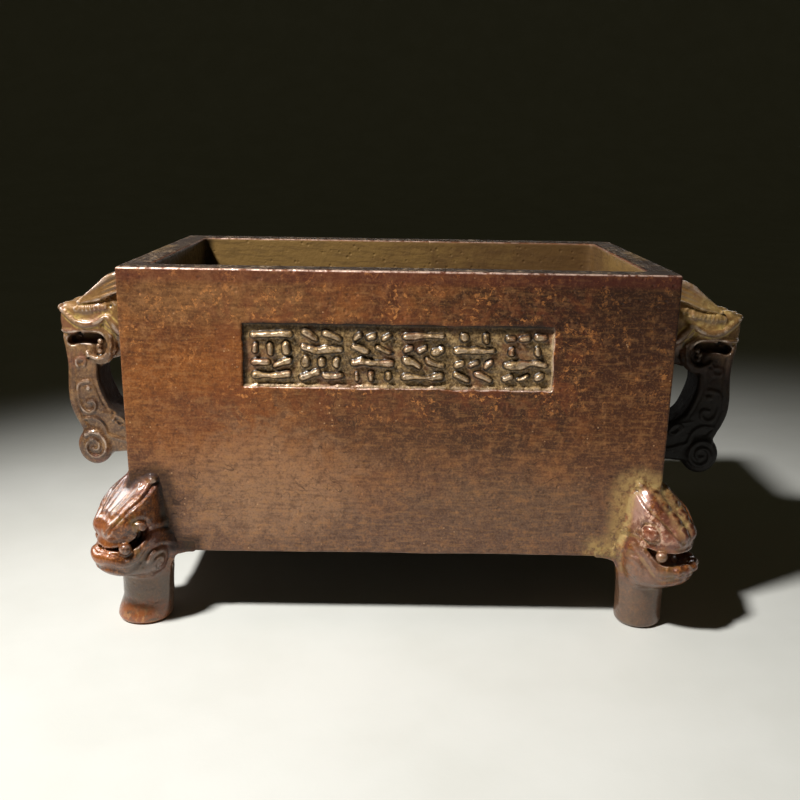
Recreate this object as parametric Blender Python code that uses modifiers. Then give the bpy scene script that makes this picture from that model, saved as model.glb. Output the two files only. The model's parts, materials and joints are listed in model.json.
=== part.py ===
"""Rectangular copper incense burner, cast in one piece.

An open, thick-walled trough stands on four beast-mask feet, which are turned out at its corners.
A beast-head loop handle is on the middle of each short end, and a sunk panel with raised strokes is on
the front. Units are metres, +Z is up, +X runs along the trough and the front faces -Y. The origin is
on the ground under the middle of the trough.
"""

import math

import bmesh
import bpy
from mathutils import Matrix, Vector

MM = 0.001

# Trough
RIM_LENGTH = 150 * MM
RIM_WIDTH = 88 * MM
TOTAL_HEIGHT = 102 * MM
UNDERSIDE_HEIGHT = 21 * MM
WALL = 7.5 * MM
FLOOR = 8 * MM
OUTER_ROUNDING = 1.2 * MM
INNER_ROUNDING = 2.5 * MM

# Sunk panel on the front, with its raised strokes
PANEL_LENGTH = 84 * MM
PANEL_HEIGHT = 17.5 * MM
PANEL_TOP_BELOW_RIM = 14.5 * MM
PANEL_DEPTH = 2 * MM
PANEL_DRAFT = 0.8 * MM
STROKE_WIDTH = 1.9 * MM
STROKE_RELIEF = 1.5 * MM
STROKE_GROUPS = 6
STROKE_ROWS = (0.36, 0.0, -0.36)
STROKE_LEANS = (0, 90, 28, -28)
ROW_LENGTH = 0.9
BAR_FILL = 0.7
UPRIGHT_LENGTH = 0.22

# Feet
LEG_DIAMETER = 13.8 * MM
LEG_INSET = 3 * MM
LEG_FLARE = 0.7 * MM
CHIN_HEIGHT = 13 * MM
MASK_HEIGHT = 32 * MM

# Handles
HANDLE_TOP_BELOW_RIM = 5 * MM
HANDLE_HEIGHT = 64 * MM
HANDLE_REACH = 30.5 * MM
STRAP_WIDTH = 13 * MM
HEAD_WIDTH = 17 * MM

# Sculpted surfaces
SCULPT_VOXEL = 0.6 * MM
SMOOTH_STEPS = 3
FOOT_DETAIL = 0.036
HANDLE_DETAIL = 0.045
ROUND_SEGMENTS = 28
OVERLAP = 2 * MM


def clear_scene():
    """Removes every object, so that the model starts from nothing."""
    for thing in list(bpy.data.objects):
        bpy.data.objects.remove(thing, do_unlink=True)


def make_collection(name):
    """Returns a new collection of the scene."""
    collection = bpy.data.collections.new(name)
    bpy.context.scene.collection.children.link(collection)
    return collection


def make_object(name, mesh_data, collection):
    """Turns a bmesh into an object of the collection."""
    mesh = bpy.data.meshes.new(name)
    mesh_data.to_mesh(mesh)
    mesh_data.free()
    thing = bpy.data.objects.new(name, mesh)
    collection.objects.link(thing)
    return thing


def as_cutter(thing):
    """Marks a helper that is only cut from the casting or joined to it."""
    thing.hide_render = True
    thing.display_type = "WIRE"
    return thing


def add_boolean(thing, operation, helper, crossing=False):
    """Adds an exact Boolean with the helper; crossing says that the helper's own shapes overlap."""
    modifier = thing.modifiers.new(operation.lower() + "_" + helper.name, "BOOLEAN")
    modifier.operation = operation
    modifier.solver = "EXACT"
    modifier.use_self = crossing
    modifier.object = helper


def copper_patina():
    """Brown copper, dull where it is patinated."""
    material = bpy.data.materials.new("copper_patina")
    material.use_nodes = True
    shader = material.node_tree.nodes["Principled BSDF"]
    shader.inputs["Base Color"].default_value = (0.19, 0.062, 0.022, 1.0)
    shader.inputs["Metallic"].default_value = 0.6
    shader.inputs["Roughness"].default_value = 0.45
    return material


def add_box(mesh_data, low, high):
    """Adds an axis-aligned box between two corners."""
    low = Vector(low)
    high = Vector(high)
    place = Matrix.Translation((low + high) / 2) @ Matrix.Diagonal((*(high - low), 1.0))
    bmesh.ops.create_cube(mesh_data, size=1.0, matrix=place)


def add_lump(mesh_data, centre, radii, tilt=0.0, lean=0.0):
    """Adds an ellipsoid, tipped by tilt about Y and then by lean about X, in degrees."""
    place = (
        Matrix.Translation(centre)
        @ Matrix.Rotation(math.radians(lean), 4, "X")
        @ Matrix.Rotation(math.radians(tilt), 4, "Y")
        @ Matrix.Diagonal((*radii, 1.0))
    )
    bmesh.ops.create_uvsphere(mesh_data, u_segments=20, v_segments=12, radius=1.0, matrix=place)


def add_cylinder(mesh_data, centre, radius, length, axis="Z", end_radius=None):
    """Adds a capped cylinder, or a cone whose far end has its own radius."""
    turns = {"Z": Matrix.Identity(4), "Y": Matrix.Rotation(math.radians(-90), 4, "X")}
    bmesh.ops.create_cone(
        mesh_data,
        cap_ends=True,
        segments=ROUND_SEGMENTS,
        radius1=radius,
        radius2=radius if end_radius is None else end_radius,
        depth=length,
        matrix=Matrix.Translation(centre) @ turns[axis],
    )


def add_curve_mesh(mesh_data, curve):
    """Adds a filled curve's mesh, with its caps welded on, and removes the curve."""
    guide = bpy.data.objects.new(curve.name, curve)
    bpy.context.scene.collection.objects.link(guide)
    bpy.context.view_layer.update()
    evaluated = guide.evaluated_get(bpy.context.evaluated_depsgraph_get())
    mesh = bpy.data.meshes.new_from_object(evaluated)
    piece = bmesh.new()
    piece.from_mesh(mesh)
    bmesh.ops.remove_doubles(piece, verts=piece.verts, dist=0.01 * MM)
    bmesh.ops.recalc_face_normals(piece, faces=piece.faces)
    piece.to_mesh(mesh)
    piece.free()
    mesh_data.from_mesh(mesh)
    bpy.data.meshes.remove(mesh)
    bpy.data.objects.remove(guide)
    bpy.data.curves.remove(curve)


def add_rod(mesh_data, points, radius, tapers=None):
    """Adds a round rod along a smooth path; tapers gives each point's share of the radius."""
    curve = bpy.data.curves.new("rod", "CURVE")
    curve.dimensions = "3D"
    curve.bevel_depth = radius
    curve.bevel_resolution = 2
    curve.resolution_u = 4
    curve.use_fill_caps = True
    spline = curve.splines.new("BEZIER")
    spline.bezier_points.add(len(points) - 1)
    for index, (point, place) in enumerate(zip(spline.bezier_points, points)):
        point.co = place
        point.handle_left_type = "AUTO"
        point.handle_right_type = "AUTO"
        point.radius = 1.0 if tapers is None else tapers[index]
    add_curve_mesh(mesh_data, curve)


def add_plate(mesh_data, outline, half_width):
    """Adds a plate of even width, whose smooth outline lies in the XZ plane."""
    curve = bpy.data.curves.new("plate", "CURVE")
    curve.dimensions = "2D"
    curve.fill_mode = "BOTH"
    curve.extrude = half_width
    curve.resolution_u = 5
    spline = curve.splines.new("BEZIER")
    spline.use_cyclic_u = True
    spline.bezier_points.add(len(outline) - 1)
    for point, (across, up) in zip(spline.bezier_points, outline):
        point.co = (across, up, 0.0)
        point.handle_left_type = "AUTO"
        point.handle_right_type = "AUTO"
    flat = bmesh.new()
    add_curve_mesh(flat, curve)
    flat.transform(Matrix.Rotation(math.radians(90), 4, "X"))
    piece = bpy.data.meshes.new("plate")
    flat.to_mesh(piece)
    flat.free()
    mesh_data.from_mesh(piece)
    bpy.data.meshes.remove(piece)


def spiral(centre, start_radius, end_radius, turns, start_angle, steps=20):
    """Returns points (x, z) along a flat spiral about the centre."""
    points = []
    for step in range(steps + 1):
        share = step / steps
        radius = start_radius + (end_radius - start_radius) * share
        angle = math.radians(start_angle + 360.0 * turns * share)
        points.append((centre[0] + radius * math.cos(angle), centre[1] + radius * math.sin(angle)))
    return points


def add_fusing(thing, voxel):
    """Adds a voxel remesh, which turns overlapping shapes into one closed skin."""
    fuse = thing.modifiers.new("fuse", "REMESH")
    fuse.mode = "VOXEL"
    fuse.voxel_size = voxel
    fuse.use_smooth_shade = True


def finish_sculpture(name, mesh_data, collection, detail, mirror_axes, mouth=None):
    """Fuses overlapping shapes into one skin, softens and thins it, and mirrors it to its places."""
    sculpture = as_cutter(make_object(name, mesh_data, collection))
    add_fusing(sculpture, SCULPT_VOXEL)
    if mouth is not None:
        add_boolean(sculpture, "DIFFERENCE", mouth)
        add_fusing(sculpture, SCULPT_VOXEL)
    soften = sculpture.modifiers.new("soften", "SMOOTH")
    soften.iterations = SMOOTH_STEPS
    thin = sculpture.modifiers.new("thin", "DECIMATE")
    thin.ratio = detail
    mirror = sculpture.modifiers.new("mirror", "MIRROR")
    mirror.use_axis = mirror_axes
    mirror.use_mirror_merge = False
    return sculpture


def foot_place():
    """Turns a foot's own frame to the front right corner, where X points out from the wall's edge."""
    corner = Matrix.Translation((RIM_LENGTH / 2, -RIM_WIDTH / 2, 0.0))
    return corner @ Matrix.Rotation(math.radians(-45), 4, "Z")


def mask_point(out, across, up):
    """Gives a place on the mask, in shares of its height above the chin."""
    return Vector((out * MASK_HEIGHT, across * MASK_HEIGHT, CHIN_HEIGHT + up * MASK_HEIGHT))


def mask_size(out, across, up):
    """Gives a size on the mask, in shares of its height."""
    return (out * MASK_HEIGHT, across * MASK_HEIGHT, up * MASK_HEIGHT)


def build_leg(mesh_data):
    """Adds the round leg under the trough's corner, a little wider where it meets the ground."""
    radius = LEG_DIAMETER / 2
    axis = -LEG_INSET * math.sqrt(2)
    top = UNDERSIDE_HEIGHT + FLOOR / 2
    bottom = -OVERLAP
    flare_length = 0.4 * CHIN_HEIGHT + OVERLAP
    flare_middle = bottom + flare_length / 2
    add_cylinder(mesh_data, (axis, 0, (top + bottom) / 2), radius, top - bottom)
    add_cylinder(mesh_data, (axis, 0, flare_middle), radius + LEG_FLARE, flare_length, end_radius=radius)


def build_mask(mesh_data):
    """Adds the beast mask: skull, jaw, and a nose bridge with three wrinkles between its two sides."""
    add_lump(mesh_data, mask_point(-0.07, 0, 0.60), mask_size(0.33, 0.25, 0.33), tilt=24)
    add_lump(mesh_data, mask_point(0.13, 0, 0.50), mask_size(0.22, 0.20, 0.11), tilt=14)
    add_lump(mesh_data, mask_point(0.04, 0, 0.24), mask_size(0.33, 0.25, 0.15))
    add_lump(mesh_data, mask_point(-0.10, 0, 0.22), mask_size(0.27, 0.28, 0.24))
    bridge = [
        mask_point(0.00, 0, 0.98),
        mask_point(0.13, 0, 0.86),
        mask_point(0.25, 0, 0.72),
        mask_point(0.33, 0, 0.57),
    ]
    add_rod(mesh_data, bridge, 0.05 * MASK_HEIGHT, (0.7, 1.0, 1.1, 1.0))
    for wrinkle in bridge[1:]:
        add_lump(mesh_data, wrinkle, mask_size(0.06, 0.085, 0.045), tilt=45)
    for side in (-1, 1):
        build_mask_side(mesh_data, side)


def build_mask_side(mesh_data, side):
    """Adds one side of the mask: brow and nostril, temple, cheek, tooth, lip and jaw scroll."""
    brow = [
        mask_point(-0.03, 0.09 * side, 0.95),
        mask_point(0.07, 0.17 * side, 0.78),
        mask_point(0.17, 0.18 * side, 0.62),
        mask_point(0.26, 0.12 * side, 0.50),
    ]
    add_rod(mesh_data, brow, 0.13 * MASK_HEIGHT, (0.55, 0.95, 1.0, 0.8))
    temple = mask_point(-0.17, 0.21 * side, 0.66)
    cheek = mask_point(-0.15, 0.23 * side, 0.36)
    nostril = mask_point(0.12, 0.27 * side, 0.53)
    tooth = mask_point(0.16, 0.24 * side, 0.40)
    add_lump(mesh_data, temple, mask_size(0.18, 0.12, 0.29), tilt=8, lean=14 * side)
    add_lump(mesh_data, cheek, mask_size(0.18, 0.13, 0.22), lean=-8 * side)
    add_lump(mesh_data, nostril, mask_size(0.07, 0.05, 0.07))
    add_lump(mesh_data, tooth, mask_size(0.05, 0.05, 0.055))
    lip = [
        mask_point(0.35, 0, 0.33),
        mask_point(0.30, 0.15 * side, 0.32),
        mask_point(0.17, 0.25 * side, 0.31),
        mask_point(0.04, 0.30 * side, 0.42),
        mask_point(-0.10, 0.32 * side, 0.52),
    ]
    add_rod(mesh_data, lip, 0.05 * MASK_HEIGHT, (1.1, 1.1, 1.0, 0.9, 0.7))
    scroll = []
    for across, up in spiral((0.0, 0.0), 0.12, 0.03, 1.3, 60, steps=14):
        scroll.append(mask_point(-0.05 + 0.75 * across, (0.255 - 0.6 * across) * side, 0.21 + up))
    add_rod(mesh_data, scroll, 0.028 * MASK_HEIGHT)


def build_mouth(collection):
    """Makes the cutter that parts the jaws, open at the snout and closing towards the cheeks."""
    mouth = bmesh.new()
    add_lump(mouth, mask_point(0.40, 0, 0.42), mask_size(0.16, 0.30, 0.035))
    for side in (-1, 1):
        add_lump(mouth, mask_point(0.25, 0.30 * side, 0.425), mask_size(0.17, 0.12, 0.03))
    fused = as_cutter(make_object("mouth_cutter", mouth, collection))
    add_fusing(fused, SCULPT_VOXEL / 2)
    return fused


def build_feet(collection):
    """Makes all four feet: one sculpted at the front right corner and mirrored to the others."""
    foot = bmesh.new()
    build_leg(foot)
    build_mask(foot)
    foot.transform(foot_place())
    mouth = build_mouth(collection)
    mouth.data.transform(foot_place())
    return finish_sculpture("feet", foot, collection, FOOT_DETAIL, (True, True, False), mouth)


def build_ground(collection):
    """Makes the cutter that trims the soles flat on the ground."""
    ground = bmesh.new()
    half_length = RIM_LENGTH / 2 + MASK_HEIGHT
    half_width = RIM_WIDTH / 2 + MASK_HEIGHT
    add_box(ground, (-half_length, -half_width, -3 * OVERLAP), (half_length, half_width, 0.0))
    return as_cutter(make_object("ground_cutter", ground, collection))


def handle_point(out, across, down):
    """Gives a place on the right handle: shares of its reach, of its head's width and of its height."""
    top = TOTAL_HEIGHT - HANDLE_TOP_BELOW_RIM
    return Vector((
        RIM_LENGTH / 2 + out * HANDLE_REACH,
        across * HEAD_WIDTH / 2,
        top - down * HANDLE_HEIGHT,
    ))


def handle_size(out, across, down):
    """Gives a size on the handle, in the same shares."""
    return (out * HANDLE_REACH, across * HEAD_WIDTH / 2, down * HANDLE_HEIGHT)


def strap_outline():
    """Returns the loop's outline (x, z): down its outer side and back up round the finger gap."""
    shares = (
        (0.93, 0.24), (0.95, 0.36), (0.95, 0.55), (0.93, 0.68), (0.87, 0.78), (0.72, 0.88),
        (0.50, 0.905), (0.20, 0.89), (-0.08, 0.88), (-0.08, 0.79), (0.18, 0.79), (0.38, 0.77),
        (0.53, 0.70), (0.61, 0.61), (0.64, 0.52), (0.62, 0.45), (0.54, 0.36), (0.70, 0.24),
    )
    return [handle_outline_point(out, down) for out, down in shares]


def mane_outline():
    """Returns the mane's outline (x, z): from the wall under the rim down its slope to the crown."""
    shares = (
        (-0.08, 0.0), (0.30, 0.005), (0.50, 0.045), (0.74, 0.155),
        (0.70, 0.22), (0.30, 0.24), (-0.08, 0.24),
    )
    return [handle_outline_point(out, down) for out, down in shares]


def handle_outline_point(out, down):
    """Gives a place of an outline on the handle's middle plane."""
    place = handle_point(out, 0, down)
    return (place.x, place.z)


def build_strap(mesh_data):
    """Adds the flat-sided loop that runs from the beast's mouth to the volute and the wall."""
    half = STRAP_WIDTH / 2
    add_plate(mesh_data, strap_outline(), half)
    centre = handle_point(0.735, 0, 0.885)
    radius = 0.09 * HANDLE_HEIGHT
    add_cylinder(mesh_data, centre, radius, STRAP_WIDTH, axis="Y")
    for side in (-1, 1):
        volute = spiral((centre.x, centre.z), 0.82 * radius, 0.2 * radius, 1.4, 150)
        add_rod(mesh_data, [(x, side * half, z) for x, z in volute], 0.013 * HANDLE_HEIGHT)


def build_head(mesh_data):
    """Adds the beast's head: mane up to the rim, skull, snout and the jaw that closes on the loop."""
    add_plate(mesh_data, mane_outline(), 0.42 * HEAD_WIDTH)
    add_lump(mesh_data, handle_point(0.45, 0, 0.25), handle_size(0.50, 0.88, 0.11), tilt=10)
    add_lump(mesh_data, handle_point(0.78, 0, 0.235), handle_size(0.225, 1.0, 0.085), tilt=12)
    add_lump(mesh_data, handle_point(0.34, 0, 0.39), handle_size(0.42, 0.74, 0.085))
    add_lump(mesh_data, handle_point(0.05, 0, 0.30), handle_size(0.30, 0.80, 0.17))
    for across in (-0.8, -0.4, 0.0, 0.4, 0.8):
        fall = 0.05 * across * across
        lock = [
            handle_point(-0.08, across, 0.02 + fall),
            handle_point(0.26, across, 0.025 + fall),
            handle_point(0.50, across, 0.065 + fall),
            handle_point(0.74, across * 0.9, 0.165 + fall),
        ]
        add_rod(mesh_data, lock, 0.024 * HANDLE_HEIGHT, (1.0, 1.0, 1.0, 0.8))
    for side in (-1, 1):
        build_head_side(mesh_data, side)


def build_head_side(mesh_data, side):
    """Adds the nostril, eye, lip and jaw scroll on one side of the head."""
    add_lump(mesh_data, handle_point(0.90, 0.42 * side, 0.175), handle_size(0.08, 0.25, 0.03))
    add_lump(mesh_data, handle_point(0.70, 0.78 * side, 0.195), handle_size(0.08, 0.20, 0.032))
    lip = [
        handle_point(0.98, 0.25 * side, 0.235),
        handle_point(0.90, 0.80 * side, 0.25),
        handle_point(0.72, 1.0 * side, 0.275),
        handle_point(0.56, 0.95 * side, 0.25),
        handle_point(0.42, 0.86 * side, 0.33),
    ]
    add_rod(mesh_data, lip, 0.026 * HANDLE_HEIGHT, (0.9, 1.0, 1.1, 1.0, 0.9))
    jaw = [
        handle_point(0.90, 0.76 * side, 0.34),
        handle_point(0.64, 0.86 * side, 0.33),
        handle_point(0.47, 0.84 * side, 0.36),
        handle_point(0.43, 0.82 * side, 0.41),
        handle_point(0.54, 0.80 * side, 0.44),
    ]
    add_rod(mesh_data, jaw, 0.018 * HANDLE_HEIGHT)


def build_handles(collection):
    """Makes both handles: the right one sculpted and mirrored to the left end."""
    handle = bmesh.new()
    build_strap(handle)
    build_head(handle)
    return finish_sculpture("handles", handle, collection, HANDLE_DETAIL, (True, False, False))


def build_trough(collection):
    """Makes the trough's outer block, with its edges a little rounded."""
    block = bmesh.new()
    half_length = RIM_LENGTH / 2
    half_width = RIM_WIDTH / 2
    add_box(block, (-half_length, -half_width, UNDERSIDE_HEIGHT), (half_length, half_width, TOTAL_HEIGHT))
    trough = make_object("incense_burner", block, collection)
    rounding = trough.modifiers.new("rounding", "BEVEL")
    rounding.width = OUTER_ROUNDING
    rounding.segments = 2
    return trough


def build_cavity(collection):
    """Makes the cutter that hollows the trough down to its floor."""
    cavity = bmesh.new()
    half_length = RIM_LENGTH / 2 - WALL
    half_width = RIM_WIDTH / 2 - WALL
    above = TOTAL_HEIGHT + INNER_ROUNDING + OVERLAP
    add_box(cavity, (-half_length, -half_width, UNDERSIDE_HEIGHT + FLOOR), (half_length, half_width, above))
    cutter = as_cutter(make_object("cavity_cutter", cavity, collection))
    rounding = cutter.modifiers.new("rounding", "BEVEL")
    rounding.width = INNER_ROUNDING
    rounding.segments = 3
    return cutter


def panel_centre():
    """Gives the middle of the sunk panel, on the plane of the front wall."""
    return Vector((0.0, -RIM_WIDTH / 2, TOTAL_HEIGHT - PANEL_TOP_BELOW_RIM - PANEL_HEIGHT / 2))


def build_panel(collection):
    """Makes the cutter that sinks the panel, with sides that slope in to its ground."""
    panel = bmesh.new()
    bmesh.ops.create_cube(panel, size=1.0)
    for corner in panel.verts:
        inner = corner.co.y > 0
        slope = PANEL_DRAFT if inner else -PANEL_DRAFT
        corner.co.x *= PANEL_LENGTH - 2 * slope
        corner.co.z *= PANEL_HEIGHT - 2 * slope
        corner.co.y *= 2 * PANEL_DEPTH
        corner.co += panel_centre()
    return as_cutter(make_object("panel_cutter", panel, collection))


def stroke_rows(index):
    """Returns one group's strokes as bars (across, up, length, angle), in shares of the group's size.

    Each group stacks three rows of short bars. The number of bars in a row and their lean change
    from group to group, and no two bars cross, so they spell nothing.
    """
    bars = []
    for row, up in enumerate(STROKE_ROWS):
        count = 1 + (index + 2 * row) % 3
        angle = STROKE_LEANS[(index + row) % len(STROKE_LEANS)]
        length = BAR_FILL / count
        if angle == 90:
            length = UPRIGHT_LENGTH
        elif count == 1:
            angle = 0
        for place in range(count):
            across = (place - (count - 1) / 2) * ROW_LENGTH / count
            bars.append((across, up, length, angle))
    return bars


def build_strokes(collection):
    """Makes the row of raised strokes on the panel's ground."""
    strokes = bmesh.new()
    centre = panel_centre()
    ground = centre.y + PANEL_DEPTH
    field = PANEL_LENGTH - 2 * PANEL_DRAFT
    pitch = field / STROKE_GROUPS
    size = PANEL_HEIGHT - 5 * PANEL_DRAFT
    depth = STROKE_RELIEF + OVERLAP
    middle_depth = ground - STROKE_RELIEF + depth / 2
    for index in range(STROKE_GROUPS):
        middle = centre.x - field / 2 + (index + 0.5) * pitch
        for across, up, length, angle in stroke_rows(index):
            place = (
                Matrix.Translation((middle + across * size, middle_depth, centre.z + up * size))
                @ Matrix.Rotation(math.radians(-angle), 4, "Y")
                @ Matrix.Diagonal((length * size, depth, STROKE_WIDTH, 1.0))
            )
            bmesh.ops.create_cube(strokes, size=1.0, matrix=place)
    return as_cutter(make_object("strokes", strokes, collection))


def build_incense_burner():
    """Builds the whole casting: trough, panel, strokes, feet and handles in one solid."""
    clear_scene()
    parts = make_collection("incense_burner")
    helpers = make_collection("cutters")
    burner = build_trough(parts)
    add_boolean(burner, "DIFFERENCE", build_panel(helpers))
    add_boolean(burner, "UNION", build_strokes(helpers), crossing=True)
    add_boolean(burner, "UNION", build_feet(helpers))
    add_boolean(burner, "UNION", build_handles(helpers))
    add_boolean(burner, "DIFFERENCE", build_cavity(helpers))
    add_boolean(burner, "DIFFERENCE", build_ground(helpers))
    burner.data.materials.append(copper_patina())
    return burner


build_incense_burner()
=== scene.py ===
import json
import math
from functools import reduce

import bpy
import numpy as np
from mathutils import Matrix, Vector
from mathutils.kdtree import KDTree

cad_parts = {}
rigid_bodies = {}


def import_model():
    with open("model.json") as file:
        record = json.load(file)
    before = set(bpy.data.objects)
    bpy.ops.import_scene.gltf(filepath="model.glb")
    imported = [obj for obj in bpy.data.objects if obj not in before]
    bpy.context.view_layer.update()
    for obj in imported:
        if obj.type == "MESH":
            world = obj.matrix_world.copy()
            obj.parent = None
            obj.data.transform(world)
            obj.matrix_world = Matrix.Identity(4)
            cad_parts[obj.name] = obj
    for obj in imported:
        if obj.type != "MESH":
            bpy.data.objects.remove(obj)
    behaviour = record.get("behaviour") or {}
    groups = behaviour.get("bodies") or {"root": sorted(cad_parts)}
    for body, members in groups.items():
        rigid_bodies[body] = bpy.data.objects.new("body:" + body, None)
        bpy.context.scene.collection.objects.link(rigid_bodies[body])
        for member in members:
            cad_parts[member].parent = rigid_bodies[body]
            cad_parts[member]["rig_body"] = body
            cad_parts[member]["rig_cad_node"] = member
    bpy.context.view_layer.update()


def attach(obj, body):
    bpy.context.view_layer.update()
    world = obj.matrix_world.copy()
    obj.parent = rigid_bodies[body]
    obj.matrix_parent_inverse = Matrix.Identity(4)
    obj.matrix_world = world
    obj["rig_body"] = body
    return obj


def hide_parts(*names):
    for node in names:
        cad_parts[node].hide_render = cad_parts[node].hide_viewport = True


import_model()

# lengths are in millimetres, and MM turns them into metres
MM = 0.001
NODE = "incense_burner"
HALF_LENGTH = 75.0
HALF_WIDTH = 44.0
TOP = 102.0
UNDERSIDE = 21.0
WALL = 7.5
FLOOR_TOP = 29.0
PANEL_HALF = 42.0
PANEL_LOW = 70.0
PANEL_HIGH = 87.5
PANEL_GROUND = -42.85
CORNER_ROUNDING = 1.2
LEG_ROUNDING = 1.4
CELL = 0.35
FAR = 4.0
SLANT = math.sqrt(0.5)
LATTICE = np.random.default_rng(41).uniform(-1.0, 1.0, (32, 32, 32))


def smooth_min(a, b, blend):
    """Joins two distances, with a fillet about as wide as blend."""
    fillet = np.maximum(blend - np.abs(a - b), 0.0)
    return np.minimum(a, b) - fillet * fillet / (4.0 * blend)


def smooth_max(a, b, blend):
    """The part that two distances have in common, with a soft edge."""
    return -smooth_min(-a, -b, blend)


def ramp(low, high, value):
    """Rises softly from 0 at low to 1 at high, also where high is the lesser."""
    share = np.clip((value - low) / (high - low), 0.0, 1.0)
    return share * share * (3.0 - 2.0 * share)


def highest(*values):
    return reduce(np.maximum, values)


def rounded(gaps, rounding):
    """Distance to the place where every gap is negative, with rounded edges."""
    outside = np.sqrt(sum(np.maximum(gap, 0.0) ** 2 for gap in gaps))
    return outside + np.minimum(highest(*gaps), 0.0) - rounding


def unit(vectors):
    return vectors / np.maximum(np.linalg.norm(vectors, axis=1), 1e-6)[:, None]


def slope_of(distance, points, step):
    """The slope of a distance function at the points."""
    slope = np.zeros(points.shape)
    for axis in range(3):
        shift = np.zeros(3)
        shift[axis] = step
        slope[:, axis] = (distance(points + shift) - distance(points - shift)) / (2 * step)
    return slope


def blend_corners(values, base, part):
    """Values between the points of a grid: base is a place's cell and part its share of it."""
    total = 0.0
    for corner in np.ndindex(2, 2, 2):
        weight = np.where(corner, part, 1 - part)
        near = values[tuple(((base + corner) % values.shape).T)]
        total = total + weight[:, 0] * weight[:, 1] * weight[:, 2] * near
    return total


def noise(points, size, shift=0.0):
    """Smooth noise between -1 and 1 that changes over about size."""
    at = np.asarray(points, float) / size + shift
    base = np.floor(at).astype(int)
    part = at - base
    return blend_corners(LATTICE, base, part * part * (3.0 - 2.0 * part))


def skin_faces(full, number):
    """The outward faces between a block's full and empty cells, from a table of their corners' numbers."""
    faces = []
    for axis in range(3):
        u, v = (axis + 1) % 3, (axis + 2) % 3
        near = [slice(1, -1)] * 3
        far = [slice(1, -1)] * 3
        near[axis] = slice(0, -1)
        far[axis] = slice(1, None)
        a, b = full[tuple(near)], full[tuple(far)]
        spots = np.argwhere(a != b)
        out = a[tuple(spots.T)]
        ring = []
        for du, dv in ((0, 0), (1, 0), (1, 1), (0, 1)):
            corner = spots.copy()
            corner[:, u] += du
            corner[:, v] += dv
            ring.append(number[tuple(corner.T)])
        ring = np.stack(ring, 1)
        ring[~out] = ring[~out][:, ::-1]
        faces.append(ring)
    return np.concatenate(faces)


def ellipsoid(centre, radii, pitch=0.0):
    """A lump: an ellipsoid, turned about its centre in the XZ plane by pitch degrees."""
    centre = np.array(centre, float)
    cosine, sine = math.cos(math.radians(pitch)), math.sin(math.radians(pitch))
    turn = np.array([[cosine, 0, sine], [0, 1, 0], [-sine, 0, cosine]])
    reach = np.sqrt(((turn * np.array(radii)) ** 2).sum(1))

    def distance(x, y, z):
        x, y, z = x - centre[0], y - centre[1], z - centre[2]
        near = 0.0
        far = 0.0
        for axis, radius in enumerate(radii):
            along = (turn[0, axis] * x + turn[1, axis] * y + turn[2, axis] * z) / radius
            near = near + along * along
            far = far + (along / radius) ** 2
        near = np.sqrt(near)
        return near * (near - 1.0) / np.maximum(np.sqrt(far), 1e-6)

    return centre - reach, centre + reach, distance


def tube(points, radii):
    """A rod along a line of points, with a radius at each of them."""
    points = np.array(points, float)
    radii = np.broadcast_to(np.array(radii, float), (len(points),))
    spare = radii.max()

    def distance(x, y, z):
        gaps = []
        for index, start in enumerate(points[:-1]):
            step = points[index + 1] - start
            length = max(float(step @ step), 1e-9)
            share = ((x - start[0]) * step[0] + (y - start[1]) * step[1] + (z - start[2]) * step[2]) / length
            share = np.clip(share, 0.0, 1.0)
            gap = np.sqrt(
                (x - start[0] - share * step[0]) ** 2
                + (y - start[1] - share * step[1]) ** 2
                + (z - start[2] - share * step[2]) ** 2
            )
            gaps.append(gap - radii[index] - share * (radii[index + 1] - radii[index]))
        return reduce(np.minimum, gaps)

    return points.min(0) - spare, points.max(0) + spare, distance


def outline_distance(outline, u, v):
    """Signed distance in the plane to a closed outline, negative inside."""
    gaps = []
    inside = False
    for start, end in zip(outline, np.roll(outline, -1, axis=0)):
        step = end - start
        along = (u - start[0]) * step[0] + (v - start[1]) * step[1]
        share = np.clip(along / max(step @ step, 1e-9), 0.0, 1.0)
        gaps.append((u - start[0] - share * step[0]) ** 2 + (v - start[1] - share * step[1]) ** 2)
        rise = step[1] if abs(step[1]) > 1e-9 else 1e-9
        crosses = ((start[1] <= v) != (end[1] <= v)) & (u < (v - start[1]) * step[0] / rise + start[0])
        inside = inside ^ crosses
    return np.where(inside, -1.0, 1.0) * np.sqrt(reduce(np.minimum, gaps))


def plate(outline, half, rounding):
    """A plate in the XZ plane with a closed outline; half is half its width in Y, or a function of (x, z)."""
    outline = np.array(outline, float)
    most = 12.0 if callable(half) else half
    low = np.array([outline[:, 0].min(), -most, outline[:, 1].min()])
    high = np.array([outline[:, 0].max(), most, outline[:, 1].max()])

    def distance(x, y, z):
        width = half(x, z) if callable(half) else half
        return rounded((outline_distance(outline, x, z) + rounding, np.abs(y) - width + rounding), rounding)

    return low, high, distance


def box_distance(points, low, high, rounding):
    """Distance to a box between two corners, with rounded edges."""
    low, high = np.array(low, float), np.array(high, float)
    centre, half = (low + high) / 2, (high - low) / 2 - rounding
    return rounded([np.abs(points[:, i] - centre[i]) - half[i] for i in range(3)], rounding)


def curve(points, steps=3):
    """A smooth line through the points (Catmull-Rom)."""
    points = np.array(points, float)
    ends = np.vstack([2 * points[0] - points[1], points, 2 * points[-1] - points[-2]])
    line = []
    for index in range(1, len(ends) - 2):
        a, b, c, d = ends[index - 1:index + 3]
        for step in range(steps):
            t = step / steps
            line.append(0.5 * (2 * b + (c - a) * t + (2 * a - 5 * b + 4 * c - d) * t * t
                               + (3 * b - a - 3 * c + d) * t ** 3))
    line.append(points[-1])
    return np.array(line)


def closed_curve(points, steps=4):
    """A smooth closed outline through the points."""
    line = curve([points[-1], *points, points[0], points[1]], steps)
    return line[steps:steps * (len(points) + 1)]


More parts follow.
